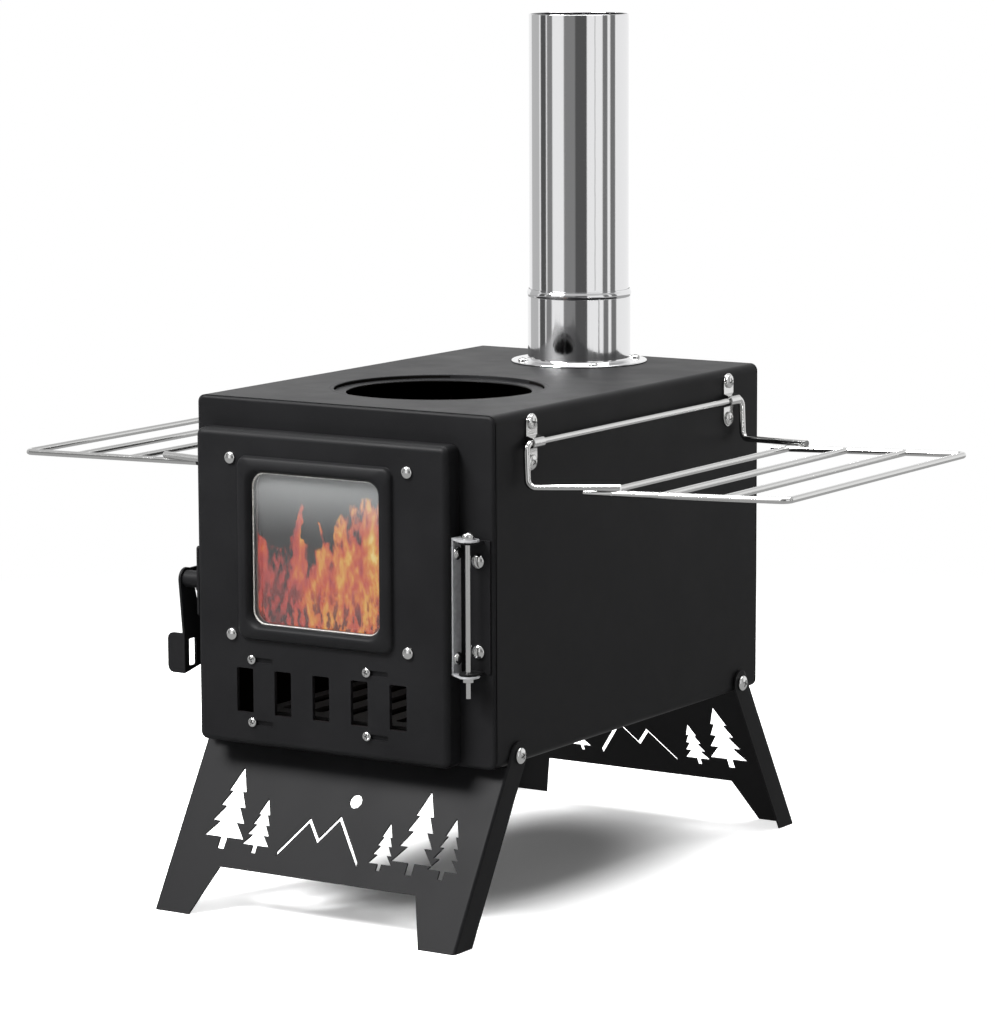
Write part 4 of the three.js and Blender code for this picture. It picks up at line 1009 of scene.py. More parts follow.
class STOVE_OT_chimney(bpy.types.Operator):
    """Makes the chimney pipe, the collar that holds it and the collar's screws"""

    bl_idname = "stove.chimney"
    bl_label = "Chimney"

    seam_angle: FloatProperty(
        name="Seam angle",
        description="Direction of the pipe's seam, from +X",
        default=math.radians(-40),
        subtype="ANGLE",
    )

    def execute(self, context):
        steel = polished_stainless()
        centre = middle("chimney_pipe")
        centre.z = 0
        pipe = turned_piece("pipe", pipe_profile(), centre)
        low, high = corners("chimney_pipe")
        outer = (high.x - low.x) / 2
        angle = math.degrees(self.seam_angle)
        collar_low, collar_high = corners("flue_collar")
        ends = (collar_high.z + 1 * MM, high.z - 1 * MM)
        seam = weld_seam("pipe_seam", outer, centre, *ends, angle, 0.9 * MM, 0.1 * MM)
        join_meshes(pipe, seam)
        finish_piece(pipe, steel, "pipe", ["chimney_pipe"], 50)
        collar = turned_piece("collar", collar_profile(), centre)
        socket = outer + 0.3 * MM + sizes().pipe_wall
        seam = weld_seam("collar_seam", socket, centre, collar_low.z + 4 * MM, collar_high.z - 3.4 * MM, angle + 4)
        join_meshes(collar, seam)
        finish_piece(collar, steel, "stove", ["flue_collar"], 50)
        screws = [f"flue_screw_{i}" for i in range(1, 5)]
        recess = (3.6 * MM, 0.8 * MM, 0.8 * MM)
        fasteners("collar_screws", screws, "top", nickel_plate(), "stove", recess, seed=5)
        return {"FINISHED"}


# ---------------------------------------------------------------- door and window


GASKET_LAP = 10 * MM  # of the tape over the window's edge
AIR_SLOT = (7.5 * MM, 17 * MM, 1.2 * MM)  # half width, half height and corner radius
GUIDE_SLOT = 1.9 * MM  # half width


def window_opening():
    """The window's centre and half sizes, from the gasket's outline and its lap."""
    low, high = corners("glass_gasket")
    half = (high - low) / 2
    centre = (high + low) / 2
    return centre, half.x - GASKET_LAP, half.z - GASKET_LAP


def door_loops():
    """Loops of the door's section, from the edge's rear over the face to the window and back."""
    size = sizes()
    low, high = corners("door_pan")
    centre = (low + high) / 2
    half_x, half_z = (high.x - low.x) / 2, (high.z - low.z) / 2
    rear = high.y
    face = low.y + size.bead_height
    back = face + size.sheet
    window, window_x, window_z = window_opening()

    def edge(y, inset):
        radius = max(size.door_corner - inset, 0.6 * MM)
        return rounded_loop(centre.x, centre.z, half_x - inset, half_z - inset, radius, y, 12)

    def round_window(y, grow):
        radius = size.window_corner - grow * 0.3
        return rounded_loop(window.x, window.z, window_x + grow, window_z + grow, radius, y, 12)

    loops = [edge(rear, 0.3 * MM), edge(rear - 0.3 * MM, 0)]
    bend = size.door_bend
    for u, v in arc_points(0, 0, bend, 0, 90, 10):
        loops.append(edge(face + bend - v, bend - u))
    width, rise = size.bead_width, size.bead_height
    # The moulding's section, from its outer foot to the lip that turns in to the glass.
    section = [(1.02, 0.0), (0.99, 0.08), (0.97, 0.24), (0.94, 0.46), (0.89, 0.62), (0.8, 0.74), (0.66, 0.86)]
    section += [(0.52, 0.95), (0.38, 1.0), (0.27, 0.97), (0.19, 0.86), (0.12, 0.66), (0.06, 0.4), (0.02, 0.18)]
    section += [(0.0, 0.0)]
    loops += [round_window(face - height * rise, share * width) for share, height in section]
    loops += [round_window(back - 0.2 * MM, 0), round_window(back, 0.3 * MM)]
    for u, v in arc_points(0, 0, bend - size.sheet, 90, 0, 6):
        loops.append(edge(face + bend - v, bend - u))
    loops.append(edge(rear, size.sheet))
    return loops


def slot_cutter(outlines, front, rear):
    """Prisms across Y, one for each outline (centre x, centre z, half x, half z, corner radius)."""

    def build(shape):
        for x, z, half_x, half_z, radius in outlines:
            near = rounded_loop(x, z, half_x, half_z, radius, front, 6)
            far = rounded_loop(x, z, half_x, half_z, radius, rear, 6)
            skin(shape, [near, far], start_cap=True, end_cap=True)

    return build


def opening_box(name):
    """A stated opening's lowest and highest corner."""
    box = next(o["box_m"] for o in frame["record"]["physics"]["openings"] if o["name"] == name)
    return Vector(box[0]), Vector(box[1])


def air_slot_outlines():
    """The air slots lie round the openings stated for them, a little larger all round."""
    outlines = []
    for i in range(1, 6):
        low, high = opening_box(f"air_slot_{i}")
        centre = (low + high) / 2
        outlines.append((centre.x, centre.z, *AIR_SLOT))
    return outlines


def guide_slot_outlines():
    """Each guide slot starts at its screw and runs right by the damper's travel."""
    travel = next(j for j in frame["joints"] if j["name"] == "air_damper")["range_m"][1]
    radius = GUIDE_SLOT
    outlines = []
    for i in range(1, 5):
        at = middle(f"damper_screw_{i}")
        outlines.append((at.x + travel / 2, at.z, travel / 2 + radius, radius, radius - 0.01 * MM))
    return outlines


class STOVE_OT_door(bpy.types.Operator):
    """Makes the pressed door with its window moulding, slots, seal, retaining frame and damper"""

    bl_idname = "stove.door"
    bl_label = "Door"

    def execute(self, context):
        paint = black_stove_paint()

        def build(shape):
            skin(shape, door_loops(), closed=True)

        door = add_object("door", mesh_of("door", build))
        face = corners("door_pan")[0].y + sizes().bead_height
        slots = slot_cutter(air_slot_outlines() + guide_slot_outlines(), face - 2 * MM, face + 4 * MM)
        cut_away(door, slots)
        soften(door, 0.2 * MM, 2, 60)
        finish_piece(door, paint, "door", ["door_pan"], 40)
        reworked("window_frame", "retaining_frame", zinc_plate(), "door", 0.2 * MM)
        reworked("damper_plate", "damper", paint, "damper", 0.2 * MM)
        self.seal()
        self.screws()
        return {"FINISHED"}

    def seal(self):
        """The round seal of the door, and the tape that shows as a pale line round the glass."""
        low, high = corners("door_rope_seal")
        centre, half = (low + high) / 2, (high - low) / 2
        width = sizes().seal_width
        depth = half.y
        loops = []
        for u, v in arc_points(0, 0, 1, 0, 360, 16)[:-1]:
            inset = width / 2 * (1 + u)
            y = centre.y + depth * v
            loops.append(rounded_loop(centre.x, centre.z, half.x - inset, half.z - inset, 5 * MM, y, 8))

        def build(shape):
            skin(shape, loops, closed=True)

        rope = add_object("rope_seal", mesh_of("rope_seal", build))
        finish_piece(rope, glass_rope(), "door", ["door_rope_seal"], 60)
        window, window_x, window_z = window_opening()
        tape_low, tape_high = corners("glass_gasket")
        lip = 0.6 * MM
        radius = sizes().window_corner
        loops = []
        outer = GASKET_LAP
        for grow, y in ((outer, tape_low.y), (outer, tape_high.y), (-lip, tape_high.y), (-lip, tape_low.y)):
            loops.append(rounded_loop(window.x, window.z, window_x + grow, window_z + grow, radius, y, 12))

        def tape_build(shape):
            skin(shape, loops, closed=True)

        tape = add_object("glass_tape", mesh_of("glass_tape", tape_build))
        soften(tape, 0.3 * MM, 2, 50)
        finish_piece(tape, glass_rope(), "door", ["glass_gasket"], 60)

    def screws(self):
        """Domed bolts round the window and small cross-recessed screws of the damper."""
        bolts = [f"window_bolt_{i}" for i in range(1, 5)]
        fasteners("window_bolts", bolts, "front", nickel_plate(), "door")
        small = [f"damper_screw_{i}" for i in range(1, 5)]
        recess = (4.8 * MM, 1.0 * MM, 0.9 * MM)
        fasteners("damper_screws", small, "front", nickel_plate(), "damper", recess, 0.5 * MM, 3)


class STOVE_OT_window(bpy.types.Operator):
    """Makes the fire glass with ground edges"""

    bl_idname = "stove.window"
    bl_label = "Window"

    def execute(self, context):
        low, high = corners("window_glass")
        centre, half = (low + high) / 2, (high - low) / 2

        def build(shape):
            radius = sizes().window_corner
            faces = [rounded_loop(centre.x, centre.z, half.x, half.z, radius, y, 12) for y in (low.y, high.y)]
            skin(shape, faces, start_cap=True, end_cap=True)

        glass = soften(add_object("glass", mesh_of("glass", build)), 0.5 * MM, 2, 60)
        finish_piece(glass, fire_glass(), "door", ["window_glass"], 50)
        return {"FINISHED"}


# ---------------------------------------------------------------- fire


FIRE_HEART = -10 * MM  # right of the stove's middle
FLAME_DEPTH = 40 * MM  # of the noise's grain, front to back
# The flames' upper edge: distance right of the stove's middle, and height, in millimetres.
FLAME_TOPS = (
    (-125, 255), (-108, 268), (-101, 288), (-95, 284), (-88, 272), (-80, 270), (-70, 274), (-66, 303), (-61, 308),
    (-57, 276), (-50, 272), (-44, 274), (-40, 298), (-36, 280), (-30, 278), (-24, 294), (-14, 306), (-2, 315),
    (10, 312), (22, 286), (40, 262), (56, 282), (70, 250), (90, 280), (105, 252), (125, 240),
)


def flame_material(low, high):
    """Wood flames: thin glowing sheets of gas, red at the edge of the fire and yellow in its heart,
    torn into tongues about 10 mm wide and clear between them."""
    material, tree, output = new_material("wood flames, glowing gas")
    place = add_node(tree, "ShaderNodeTexCoord").outputs["Object"]

    def noise_at(wide, tall, detail, shift):
        """Noise whose grain is so many millimetres wide and tall."""
        moved = add_node(
            tree,
            "ShaderNodeMapping",
            {
                "Vector": place,
                "Location": (shift, 0, shift),
                "Scale": (1 / (wide * MM), 1 / FLAME_DEPTH, 1 / (tall * MM)),
            },
        )
        return add_node(
            tree, "ShaderNodeTexNoise", {"Vector": moved.outputs["Vector"], "Scale": 1.0, "Detail": detail}
        ).outputs

    split = add_node(tree, "ShaderNodeSeparateXYZ", {"Vector": place}).outputs
    # The whole fire sways to either side, and its tongues lick.
    across = split["X"]
    for wide, tall, detail, shift, swing in ((26, 34, 2.0, 3.0, 26 * MM), (8, 12, 4.0, 8.0, 14 * MM)):
        drift = add_node(
            tree,
            "ShaderNodeMath",
            {0: noise_at(wide, tall, detail, shift)["Fac"], 1: swing, 2: -swing / 2},
            operation="MULTIPLY_ADD",
        )
        across = add_node(tree, "ShaderNodeMath", {0: across, 1: drift.outputs[0]}, operation="ADD").outputs[0]
    share = add_node(tree, "ShaderNodeMapRange", {"Value": across, "From Min": low.x, "From Max": high.x}).outputs[0]

    extent = high - low
    stops = [((x * MM - low.x) / extent.x, grey((z * MM - low.z) / extent.z)) for x, z in FLAME_TOPS]
    top = ramp(tree, share, stops)
    height = add_node(
        tree, "ShaderNodeMapRange", {"Value": split["Z"], "From Min": low.z, "From Max": high.z}
    ).outputs[0]
    under = add_node(tree, "ShaderNodeMath", {0: top, 1: height}, operation="SUBTRACT").outputs[0]
    tongues = noise_at(11, 34, 4.0, 1.0)["Fac"]
    fine = noise_at(4.5, 11, 5.0, 5.0)["Fac"]
    mixed = add_node(tree, "ShaderNodeMix", {"Factor": 0.45, "A": tongues, "B": fine}, data_type="FLOAT").outputs[0]
    # How dense the gas is: it thins at the top and tears where the noise is low.
    body = add_node(
        tree,
        "ShaderNodeMapRange",
        {"Value": under, "From Min": -0.02, "From Max": 0.34, "To Min": -0.1, "To Max": 0.16},
    ).outputs[0]
    gas = add_node(tree, "ShaderNodeMath", {0: mixed, 1: body}, operation="ADD").outputs[0]
    dense = add_node(
        tree,
        "ShaderNodeMapRange",
        {"Value": gas, "From Min": 0.38, "From Max": 0.5},
        interpolation_type="SMOOTHSTEP",
    ).outputs[0]
    cut = add_node(
        tree, "ShaderNodeMapRange", {"Value": under, "From Min": 0.0, "From Max": 0.03}, interpolation_type="SMOOTHSTEP"
    ).outputs[0]
    # Embers: small dark specks low in the fire.
    specks = add_node(
        tree,
        "ShaderNodeMapRange",
        {"Value": fine, "From Min": 0.42, "From Max": 0.5, "To Min": 0.25, "To Max": 1.0},
        interpolation_type="SMOOTHSTEP",
    ).outputs[0]
    low_down = add_node(tree, "ShaderNodeMapRange", {"Value": height, "From Min": 0.12, "From Max": 0.34}).outputs[0]
    whole = add_node(tree, "ShaderNodeMath", {0: specks, 1: low_down}, operation="MAXIMUM").outputs[0]
    alpha = dense
    for share_left in (cut, whole):
        alpha = add_node(tree, "ShaderNodeMath", {0: alpha, 1: share_left}, operation="MULTIPLY").outputs[0]
    # Yellow at the fire's heart, a little left of the middle, and red at its sides.
    off = add_node(tree, "ShaderNodeMath", {0: across, 1: FIRE_HEART}, operation="SUBTRACT").outputs[0]
    aside = add_node(tree, "ShaderNodeMath", {0: off}, operation="ABSOLUTE").outputs[0]
    warmth = add_node(
        tree,
        "ShaderNodeMapRange",
        {"Value": aside, "From Min": 10 * MM, "From Max": 80 * MM, "To Min": -0.77, "To Max": -1.21},
    ).outputs[0]
    glow = add_node(tree, "ShaderNodeMath", {0: mixed, 1: 2.7, 2: warmth}, operation="MULTIPLY_ADD").outputs[0]
    colour = ramp(
        tree,
        glow,
        [
            (0.0, linear("7c2420")),
            (0.22, linear("b43c36")),
            (0.46, linear("cc5430")),
            (0.64, linear("d87e34")),
            (0.82, linear("e2a844")),
            (1.0, linear("ecd27c")),
        ],
    )
    fire = add_node(tree, "ShaderNodeEmission", {"Color": colour, "Strength": finishes().flame})
    clear = add_node(tree, "ShaderNodeBsdfTransparent")
    shader = add_node(tree, "ShaderNodeMixShader", {0: alpha, 1: clear.outputs[0], 2: fire.outputs[0]})
    tree.links.new(shader.outputs[0], output.inputs["Surface"])
    return material


class STOVE_OT_fire(bpy.types.Operator):
    """Makes the flames that show behind the window. They aren't a piece of the stove"""

    bl_idname = "stove.fire"
    bl_label = "Fire"

    depth: length("Depth", "Behind the front plate", 30)

    def execute(self, context):
        body_top = corners("body_wrap")[1].z
        plate = corners("front_plate")[0].y
        low = Vector((-125 * MM, plate + self.depth, corners("window_glass")[0].z - 12 * MM))
        high = Vector((125 * MM, plate + self.depth, body_top - 55 * MM))

        def build(shape):
            columns, rows = 60, 40
            grid = []
            for k in range(columns + 1):
                x = low.x + (high.x - low.x) * k / columns
                column = []
                for m in range(rows + 1):
                    z = low.z + (high.z - low.z) * m / rows
                    y = low.y + 3 * MM * noise.noise(Vector((x / 0.04, z / 0.06, 0)))
                    column.append(shape.verts.new((x, y, z)))
                grid.append(column)
            for k in range(columns):
                for m in range(rows):
                    shape.faces.new((grid[k][m], grid[k + 1][m], grid[k + 1][m + 1], grid[k][m + 1]))

        flames = add_object("flames", mesh_of("flames", build))
        flames.data.shade_smooth()
        flames.data.materials.append(flame_material(low, high))
        return {"FINISHED"}


# ---------------------------------------------------------------- hinge and latch


class STOVE_OT_hinge(bpy.types.Operator):
    """Makes both hinge brackets, their rivets, the hinge bolt and its nut"""

    bl_idname = "stove.hinge"
    bl_label = "Hinge"

    def execute(self, context):
        nickel = nickel_plate()
        reworked("door_hinge_bracket", "hinge_bracket_door", zinc_plate(), "door", 0.3 * MM)
        reworked("body_hinge_bracket", "hinge_bracket_body", black_stove_paint(), "stove", 0.3 * MM)
        door_rivets = ["door_hinge_rivet_upper", "door_hinge_rivet_lower"]
        fasteners("hinge_rivets_door", door_rivets, "right", nickel, "door")
        body_rivets = ["body_hinge_rivet_upper", "body_hinge_rivet_lower"]
        fasteners("hinge_rivets_body", body_rivets, "front", nickel, "stove")
        recess = (3.4 * MM, 0.9 * MM, 1.2 * MM)
        fasteners("hinge_pin", ["hinge_bolt"], "top", nickel, "door", recess, 1.8 * MM)
        reworked("hinge_nut", "hinge_pin_nut", nickel, "door", 0.4 * MM)
        return {"FINISHED"}


class STOVE_OT_latch(bpy.types.Operator):
    """Makes the latch: its bracket, rivets, lever, pivot bolt and the keeper on the body"""

    bl_idname = "stove.latch"
    bl_label = "Latch"

    def execute(self, context):
        paint = black_stove_paint()
        reworked("latch_bracket", "latch_base", paint, "door", 0.4 * MM)
        reworked("latch_lever", "latch_handle", paint, "latch", 0.3 * MM)
        reworked("latch_keeper", "latch_pin", nickel_plate(), "stove", 0.2 * MM)
        rivets = ["latch_rivet_upper", "latch_rivet_lower"]
        fasteners("latch_rivets", rivets, "left", paint, "door")
        fasteners("latch_pivot", ["latch_bolt"], "left", paint, "door")
        return {"FINISHED"}


# ---------------------------------------------------------------- racks


def joint(name):
    return next(j for j in frame["joints"] if j["name"] == name)


class STOVE_OT_racks(bpy.types.Operator):
    """Makes both wire racks, the clips that hold them and the clips' screws"""

    bl_idname = "stove.racks"
    bl_label = "Racks"

    arm_drop: length("Arm drop", "Of the arms' feet", 32)
    arm_reach: length("Arm reach", "Of the arms' feet", 68)
    rail_start: length("Rail start", "From the pivot", 37)
    rail_inset: length("Rail inset", "From the arm", 19)
    first_wire: length("First wire", "From the pivot", 51)
    wire_pitch: length("Pitch", "Between wires", 51.5)
    wires: IntProperty(name="Wires", description="Cross wires between the rails", default=3, min=1)
    end_inset: length("End inset", "Arm from body end", 36)
    right_tilt: FloatProperty(
        name="Right tilt", description="Outer edge above level", default=math.radians(2.2), subtype="ANGLE"
    )
    left_tilt: FloatProperty(
        name="Left tilt", description="Outer edge above level", default=math.radians(-1.2), subtype="ANGLE"
    )

    def execute(self, context):
        for side, sign, tilt in (("right", 1, self.right_tilt), ("left", -1, self.left_tilt)):
            self.rack(side, sign, tilt)
            self.clips(side, sign)
        return {"FINISHED"}

    def rack(self, side, sign, tilt):
        """The rack is drawn on the right with its pivot rod along Y through the origin."""
        wire = sizes().wire
        body_half = -corners("front_plate")[0].y
        arm = body_half - self.end_inset
        rail = arm - self.rail_inset
        foot = -self.arm_drop
        under = foot - 2 * wire + 0.5 * MM
        start, outer = self.rail_start, self.first_wire + self.wires * self.wire_pitch
        chains = [
            [
                (self.arm_reach, -rail, foot),
                (0, -arm, foot),
                (0, -arm, 0),
                (0, arm, 0),
                (0, arm, foot),
                (self.arm_reach, rail, foot),
            ],
            [(x, y, under) for x, y in ((start, -rail), (outer, -rail), (outer, rail), (start, rail))],
        ]
        for i in range(self.wires):
            x = self.first_wire + i * self.wire_pitch
            chains.append([(x, -rail, under), (x, rail, under)])
        pivot = Vector(joint(f"{side}_rack_fold")["pos_m"])
        place = Matrix.Translation(pivot) @ Matrix.Rotation(-sign * tilt, 4, "Y") @ Matrix.Diagonal((sign, 1, 1, 1))
        points, edges = [], []
        for chain in chains:
            first = len(points)
            points += [place @ Vector(point) for point in chain]
            edges += [(first + k, first + k + 1) for k in range(len(chain) - 1)]
        mesh = bpy.data.meshes.new(f"rack_{side}")
        mesh.from_pydata(points, edges, [])
        piece = grown(
            add_object(f"rack_{side}", mesh),
            bent_wire_tree(),
            **{"Wire Radius": wire, "Bend Radius": sizes().wire_bend, "Bend Steps": 8, "Material": nickel_plate()},
        )
        finish_piece(piece, nickel_plate(), f"{side}_rack", [f"{side}_rack"], 60)

    def clips(self, side, sign):
        for end in ("front", "rear"):
            node = f"rack_clip_{side}_{end}"
            piece = add_object(f"clip_{side}_{end}", mesh_of(node, self.saddle(node, side, sign)))
            soften(piece, 0.3 * MM, 2, 50)
            finish_piece(piece, nickel_plate(), "stove", [node], 40)
        screws = [f"rack_screw_{side}_{end}_{level}" for end in ("front", "rear") for level in ("lower", "upper")]
        recess = (5.6 * MM, 1.2 * MM, 1.6 * MM)
        fasteners(f"clip_screws_{side}", screws, side, nickel_plate(), "stove", recess, seed=7)

    def saddle(self, node, side, sign):
        """A strap over the rod: two flat ends on the body and a hump round the wire."""
        low, high = corners(node)
        centre = (low + high) / 2
        wall = corners("body_wrap")[1].x * sign
        pivot = Vector(joint(f"{side}_rack_fold")["pos_m"])
        thick = 1.2 * MM
        inner = sizes().wire + 0.3 * MM
        outer = inner + thick
        out = abs(pivot.x - wall)
        half = (high.z - low.z) / 2
        width = (high.y - low.y) / 2

        def outline(t):
            """Half width of the strap at the height t from its middle: round at both ends."""
            over = abs(t) - (half - width)
            return width if over <= 0 else math.sqrt(max(width * width - over * over, 0.04 * width * width))

        path = []
        flat_steps = 10
        for k in range(flat_steps + 1):
            z = half - (half - outer - 1.2 * MM) * k / flat_steps
            path.append(((thick, z), (0.0, z)))
        for u, v in arc_points(0, 0, 1, 90, -90, 20):
            path.append(((out + outer * u, outer * v), (out + inner * u, inner * v)))
        for k in range(flat_steps, -1, -1):
            z = half - (half - outer - 1.2 * MM) * k / flat_steps
            path.append(((thick, -z), (0.0, -z)))

        def build(shape):
            loops = []
            for (outer_x, outer_z), (inner_x, inner_z) in path:
                w = outline(outer_z)
                loop = []
                for x, z, y in (
                    (outer_x, outer_z, -w),
                    (outer_x, outer_z, w),
                    (inner_x, inner_z, w),
                    (inner_x, inner_z, -w),
                ):
                    loop.append(Vector((wall + sign * x, centre.y + y, pivot.z + z)))
                loops.append(loop)
            skin(shape, loops, start_cap=True, end_cap=True)

        return build


# ---------------------------------------------------------------- legs


class STOVE_OT_legs(bpy.types.Operator):
    """Makes both folding leg panels and their pivot bolts"""

    bl_idname = "stove.legs"
    bl_label = "Legs"

    def execute(self, context):
        for end in ("front", "rear"):
            reworked(
                f"{end}_legs", f"leg_panel_{end}", black_stove_paint(), f"{end}_legs", 0.25 * MM, 35
            )
        recess = (5.6 * MM, 1.3 * MM, 1.8 * MM)
        for side in SIDES:
            bolts = [f"leg_bolt_{end}_{side}" for end in ("front", "rear")]
            name = f"leg_bolts_{side}"
            fasteners(name, bolts, side, nickel_plate(), "stove", recess, 0.9 * MM, 11)
        return {"FINISHED"}


# ---------------------------------------------------------------- stage


# What stands in the white studio that polished metal mirrors: its middle's bearing from +X and its
# half width, in degrees, and its brightness beside the white wall's 1.
SCREENS = (
    ("shaded wall at the rear left", 180, 16, 0.55),
    ("black flag on the left", -149, 7, 0.1),
    ("grey screen on the left", -130, 6, 0.25),
    ("grey cloth behind the camera", -80, 12, 0.25),
    ("black cloth behind the camera", -54, 12, 0.1),
    ("black flag on the right", 4, 5, 0.2),
    ("second black flag on the right", 26, 6, 0.2),
)


class STOVE_OT_stage(bpy.types.Operator):
    """Makes the floor, the lights and the camera"""

    bl_idname = "stove.stage"
    bl_label = "Stage"

    camera_x: length("Camera X", "Right of the stove's middle", 1788.3)
    camera_y: length("Camera Y", "Behind the stove's middle", -2796.2)
    camera_z: length("Camera Z", "Above the ground", 777.1)
    yaw: FloatProperty(
        name="Yaw", description="To the left of straight ahead", default=math.radians(32.447), subtype="ANGLE"
    )
    pitch: FloatProperty(name="Pitch", description="Below level", default=math.radians(8.488), subtype="ANGLE")
    roll: FloatProperty(name="Roll", description="Of the picture", default=math.radians(-0.22), subtype="ANGLE")
    focal: FloatProperty(name="Focal length", description="In pixels of the picture", default=4293.85)
    floor_glow: FloatProperty(name="Floor glow", description="Added to the floor as seen", default=0.74)
    fill: FloatProperty(name="Fill", description="Even light from all round", default=0.42)
    wall_light: FloatProperty(name="Walls", description="Brightness of the studio's white walls", default=1.05)
    ceiling: FloatProperty(name="Ceiling", description="Beside the white walls' 1", default=0.6)

    def execute(self, context):
        self.camera(context)
        self.floor()
        self.world(context)
        self.lamps()
        context.scene.view_settings.view_transform = "Standard"
        return {"FINISHED"}

    def camera(self, context):
        ahead = Vector(
            (
                -math.sin(self.yaw) * math.cos(self.pitch),
                math.cos(self.yaw) * math.cos(self.pitch),
                -math.sin(self.pitch),
            )
        )
        level = Vector((math.cos(self.yaw), math.sin(self.yaw), 0))
        upright = level.cross(ahead)
        right = math.cos(self.roll) * level + math.sin(self.roll) * upright
        up = math.cos(self.roll) * upright - math.sin(self.roll) * level
        data = bpy.data.cameras.new("Camera")
        data.sensor_width = SENSOR
        data.lens = self.focal * SENSOR / max(FRAME_WIDTH, FRAME_HEIGHT)
        data.clip_start = 0.1
        data.clip_end = 60
        camera = bpy.data.objects.new("Camera", data)
        context.scene.collection.objects.link(camera)
        turn = Matrix((right, up, -ahead)).transposed()
        at = Vector((self.camera_x, self.camera_y, self.camera_z))
        camera.matrix_world = Matrix.Translation(at) @ turn.to_4x4()
        context.scene.camera = camera

    def floor(self):
        """A pale floor that the camera sees as white, but for the stove's shadow on it and a painted shadow right under
        it.
        """
        reach, count = 2.4, 96

        def build(shape):
            turns = [k * math.tau / count for k in range(count)]
            rim = [(reach * math.cos(turn), reach * math.sin(turn), 0) for turn in turns]
            shape.faces.new([shape.verts.new(point) for point in rim])

        floor = add_object("floor", mesh_of("floor", build))
        material, tree, output = new_material("paper floor, pale")
        paper = add_node(tree, "ShaderNodeBsdfDiffuse", {"Color": linear("e6e6e6")})
        place = add_node(tree, "ShaderNodeTexCoord").outputs["Object"]
        # The glow fades out right under the stove: a painted shadow, oval round its footprint, laid over the shadow
        # that the lamps cast.
        painted_shadow_footprint = add_node(tree, "ShaderNodeVectorMath", {0: place, 1: (1 / 0.13, 1 / 0.23, 0)}, operation="MULTIPLY")
        under = add_node(tree, "ShaderNodeVectorMath", {0: painted_shadow_footprint.outputs[0]}, operation="LENGTH")
        strength = add_node(
            tree,
            "ShaderNodeMapRange",
            {"Value": under.outputs["Value"], "From Min": 0.5, "From Max": 1.3, "To Max": self.floor_glow},
            interpolation_type="SMOOTHSTEP",
        )
        glow = add_node(tree, "ShaderNodeEmission", {"Color": grey(1.0), "Strength": strength.outputs[0]})
        lit = add_node(tree, "ShaderNodeAddShader", {0: paper.outputs[0], 1: glow.outputs[0]})
        # Away from the stove the floor fades to the white of the backdrop.
        away = add_node(tree, "ShaderNodeVectorMath", {0: place}, operation="LENGTH")
        fade = add_node(
            tree,
            "ShaderNodeMapRange",
            {"Value": away.outputs["Value"], "From Min": 0.7, "From Max": 1.5},
            interpolation_type="SMOOTHSTEP",
        )
        white = add_node(tree, "ShaderNodeEmission", {"Color": grey(1.0), "Strength": 1.0})
        faded = add_node(tree, "ShaderNodeMixShader", {0: fade.outputs[0], 1: lit.outputs[0], 2: white.outputs[0]})
        rays = add_node(tree, "ShaderNodeLightPath").outputs
        seen = add_node(
            tree, "ShaderNodeMath", {0: rays["Is Camera Ray"], 1: rays["Is Transmission Ray"]}, operation="MAXIMUM"
        )
        # Metal mirrors the floor as an even grey, so that it keeps its drawing from every side.
        mirrored = add_node(tree, "ShaderNodeEmission", {"Color": linear("b6b6b6"), "Strength": 1.0})
        unseen = add_node(
            tree, "ShaderNodeMixShader", {0: rays["Is Glossy Ray"], 1: paper.outputs[0], 2: mirrored.outputs[0]}
        )
        shader = add_node(
            tree, "ShaderNodeMixShader", {0: seen.outputs[0], 1: unseen.outputs[0], 2: faded.outputs[0]}
        )
        tree.links.new(shader.outputs[0], output.inputs["Surface"])
        floor.data.materials.append(material)

    def world(self, context):
        """White for the camera, even light for matt surfaces, and a studio of white walls and dark
        flags for metal, which shows as the bands on the pipe."""
        world = bpy.data.worlds.new("Studio")
        world.use_nodes = True
        tree = world.node_tree
        tree.nodes.clear()
        rays = add_node(tree, "ShaderNodeLightPath").outputs
        seen = add_node(
            tree, "ShaderNodeMath", {0: rays["Is Camera Ray"], 1: rays["Is Transmission Ray"]}, operation="MAXIMUM"
        )
        soft = add_node(tree, "ShaderNodeBackground", {"Color": grey(1.0), "Strength": self.fill})
        ahead = add_node(
            tree, "ShaderNodeSeparateXYZ", {"Vector": add_node(tree, "ShaderNodeTexCoord").outputs["Generated"]}
        ).outputs
        bearing = add_node(tree, "ShaderNodeMath", {0: ahead["Y"], 1: ahead["X"]}, operation="ARCTAN2")
        level = 1.0
        for _, middle_bearing, half_width, brightness in SCREENS:
            off = add_node(
                tree, "ShaderNodeMath", {0: bearing.outputs[0], 1: math.radians(middle_bearing)}, operation="SUBTRACT"
            )
            cosine = add_node(tree, "ShaderNodeMath", {0: off.outputs[0]}, operation="COSINE")
            apart = add_node(tree, "ShaderNodeMath", {0: cosine.outputs[0]}, operation="ARCCOSINE")
            share = add_node(
                tree,
                "ShaderNodeMapRange",
                {
                    "Value": apart.outputs[0],
                    "From Min": math.radians(half_width),
                    "From Max": math.radians(half_width + 3),
                    "To Min": 1.0,
                    "To Max": 0.0,
                },
                interpolation_type="SMOOTHSTEP",
            )
            level = add_node(
                tree, "ShaderNodeMix", {"Factor": share.outputs[0], "A": level, "B": brightness}, data_type="FLOAT"
            ).outputs[0]
        overhead = add_node(
            tree,
            "ShaderNodeMapRange",
            {"Value": ahead["Z"], "From Min": 0.3, "From Max": 0.6},
            interpolation_type="SMOOTHSTEP",
        )
        room = add_node(
            tree,
            "ShaderNodeMix",
            {"Factor": overhead.outputs[0], "A": level, "B": grey(self.ceiling)},
            data_type="RGBA",
        )
        walls = add_node(tree, "ShaderNodeBackground", {"Color": room.outputs[2], "Strength": self.wall_light})
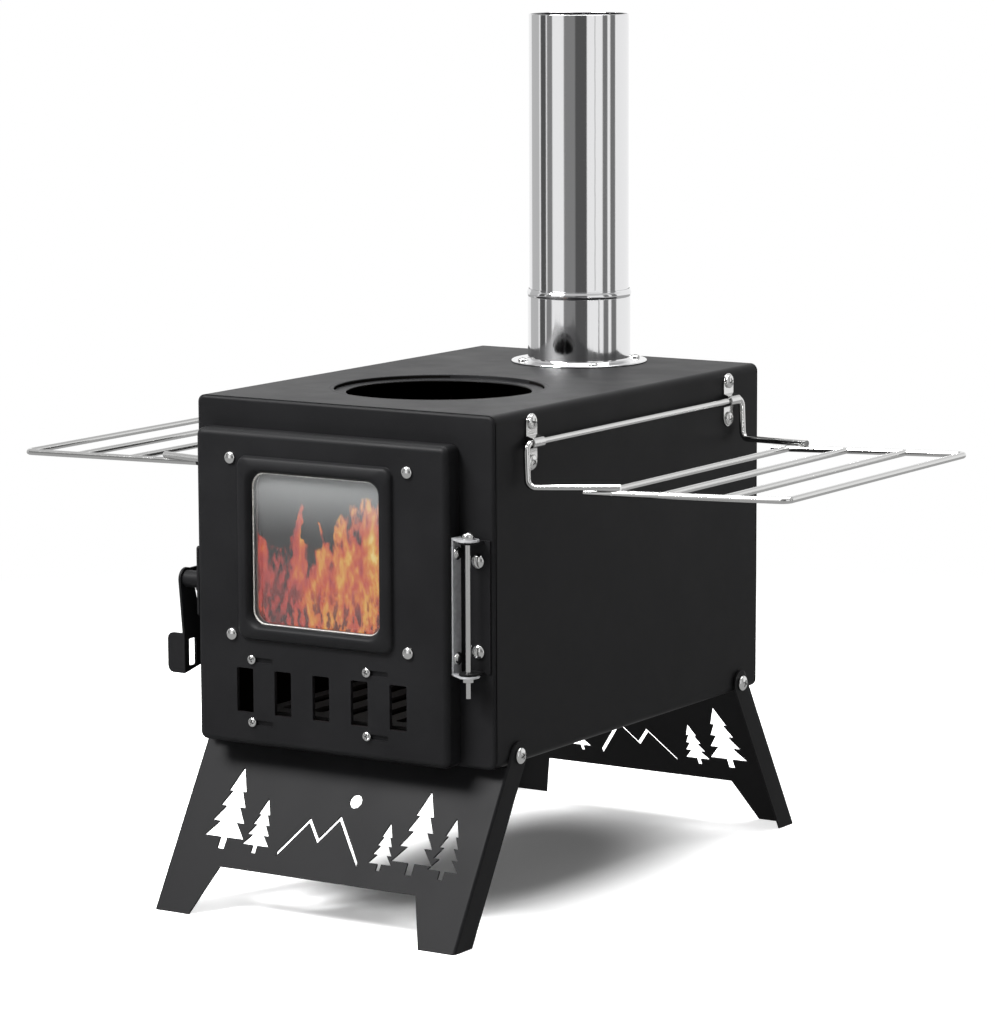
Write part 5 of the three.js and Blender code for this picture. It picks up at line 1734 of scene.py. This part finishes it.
        lit = add_node(
            tree, "ShaderNodeMixShader", {0: rays["Is Glossy Ray"], 1: soft.outputs[0], 2: walls.outputs[0]}
        )
        white = add_node(tree, "ShaderNodeBackground", {"Color": grey(1.0), "Strength": 1.0})
        mix = add_node(tree, "ShaderNodeMixShader", {0: seen.outputs[0], 1: lit.outputs[0], 2: white.outputs[0]})
        output = add_node(tree, "ShaderNodeOutputWorld")
        tree.links.new(mix.outputs[0], output.inputs["Surface"])
        context.scene.world = world

    def lamps(self):
        """Soft boxes: overhead, front left, left and right. Metal doesn't mirror the last two."""
        aims = (
            ("Overhead box", (0.0, 0.5, 2.6), 2.4, 1.6, 75.0, True),
            ("Front left box", (-0.8, -1.55, 2.05), 1.2, 0.9, 170.0, True),
            ("Left box", (-2.4, -1.2, 1.2), 1.2, 2.0, 6.0, False),
            ("Right box", (2.6, 0.6, 1.2), 0.7, 1.8, 4.0, False),
        )
        for name, at, width, height, power, mirrored in aims:
            data = bpy.data.lights.new(name, "AREA")
            data.shape = "RECTANGLE"
            data.size = width
            data.size_y = height
            data.energy = power
            lamp = bpy.data.objects.new(name, data)
            lamp.visible_glossy = mirrored
            bpy.context.scene.collection.objects.link(lamp)
            aim = Vector((0, 0, 0.35)) - Vector(at)
            lamp.matrix_world = Matrix.Translation(Vector(at)) @ aim.to_track_quat("-Z", "Y").to_matrix().to_4x4()


# ---------------------------------------------------------------- panel, registration and the run


class STOVE_PT_panel(bpy.types.Panel):
    """Lists the steps that dress the stove"""

    bl_idname = "STOVE_PT_panel"
    bl_label = "Tent stove"
    bl_space_type = "VIEW_3D"
    bl_region_type = "UI"
    bl_category = "Stove"

    def draw(self, context):
        for step in STEPS:
            self.layout.operator(step.bl_idname)


STEPS = (
    STOVE_OT_stage,
    STOVE_OT_firebox,
    STOVE_OT_chimney,
    STOVE_OT_door,
    STOVE_OT_window,
    STOVE_OT_fire,
    STOVE_OT_hinge,
    STOVE_OT_latch,
    STOVE_OT_racks,
    STOVE_OT_legs,
)
CLASSES = (StoveSizes, StoveFinishes, *STEPS, STOVE_PT_panel)


def register():
    for cls in CLASSES:
        bpy.utils.register_class(cls)
    bpy.types.Scene.stove_sizes = PointerProperty(type=StoveSizes)
    bpy.types.Scene.stove_finishes = PointerProperty(type=StoveFinishes)


def unregister():
    del bpy.types.Scene.stove_finishes
    del bpy.types.Scene.stove_sizes
    for cls in reversed(CLASSES):
        bpy.utils.unregister_class(cls)


def main():
    register()
    for step in STEPS:
        group, name = step.bl_idname.split(".")
        getattr(getattr(bpy.ops, group), name)()


if __name__ == "__main__":
    main()
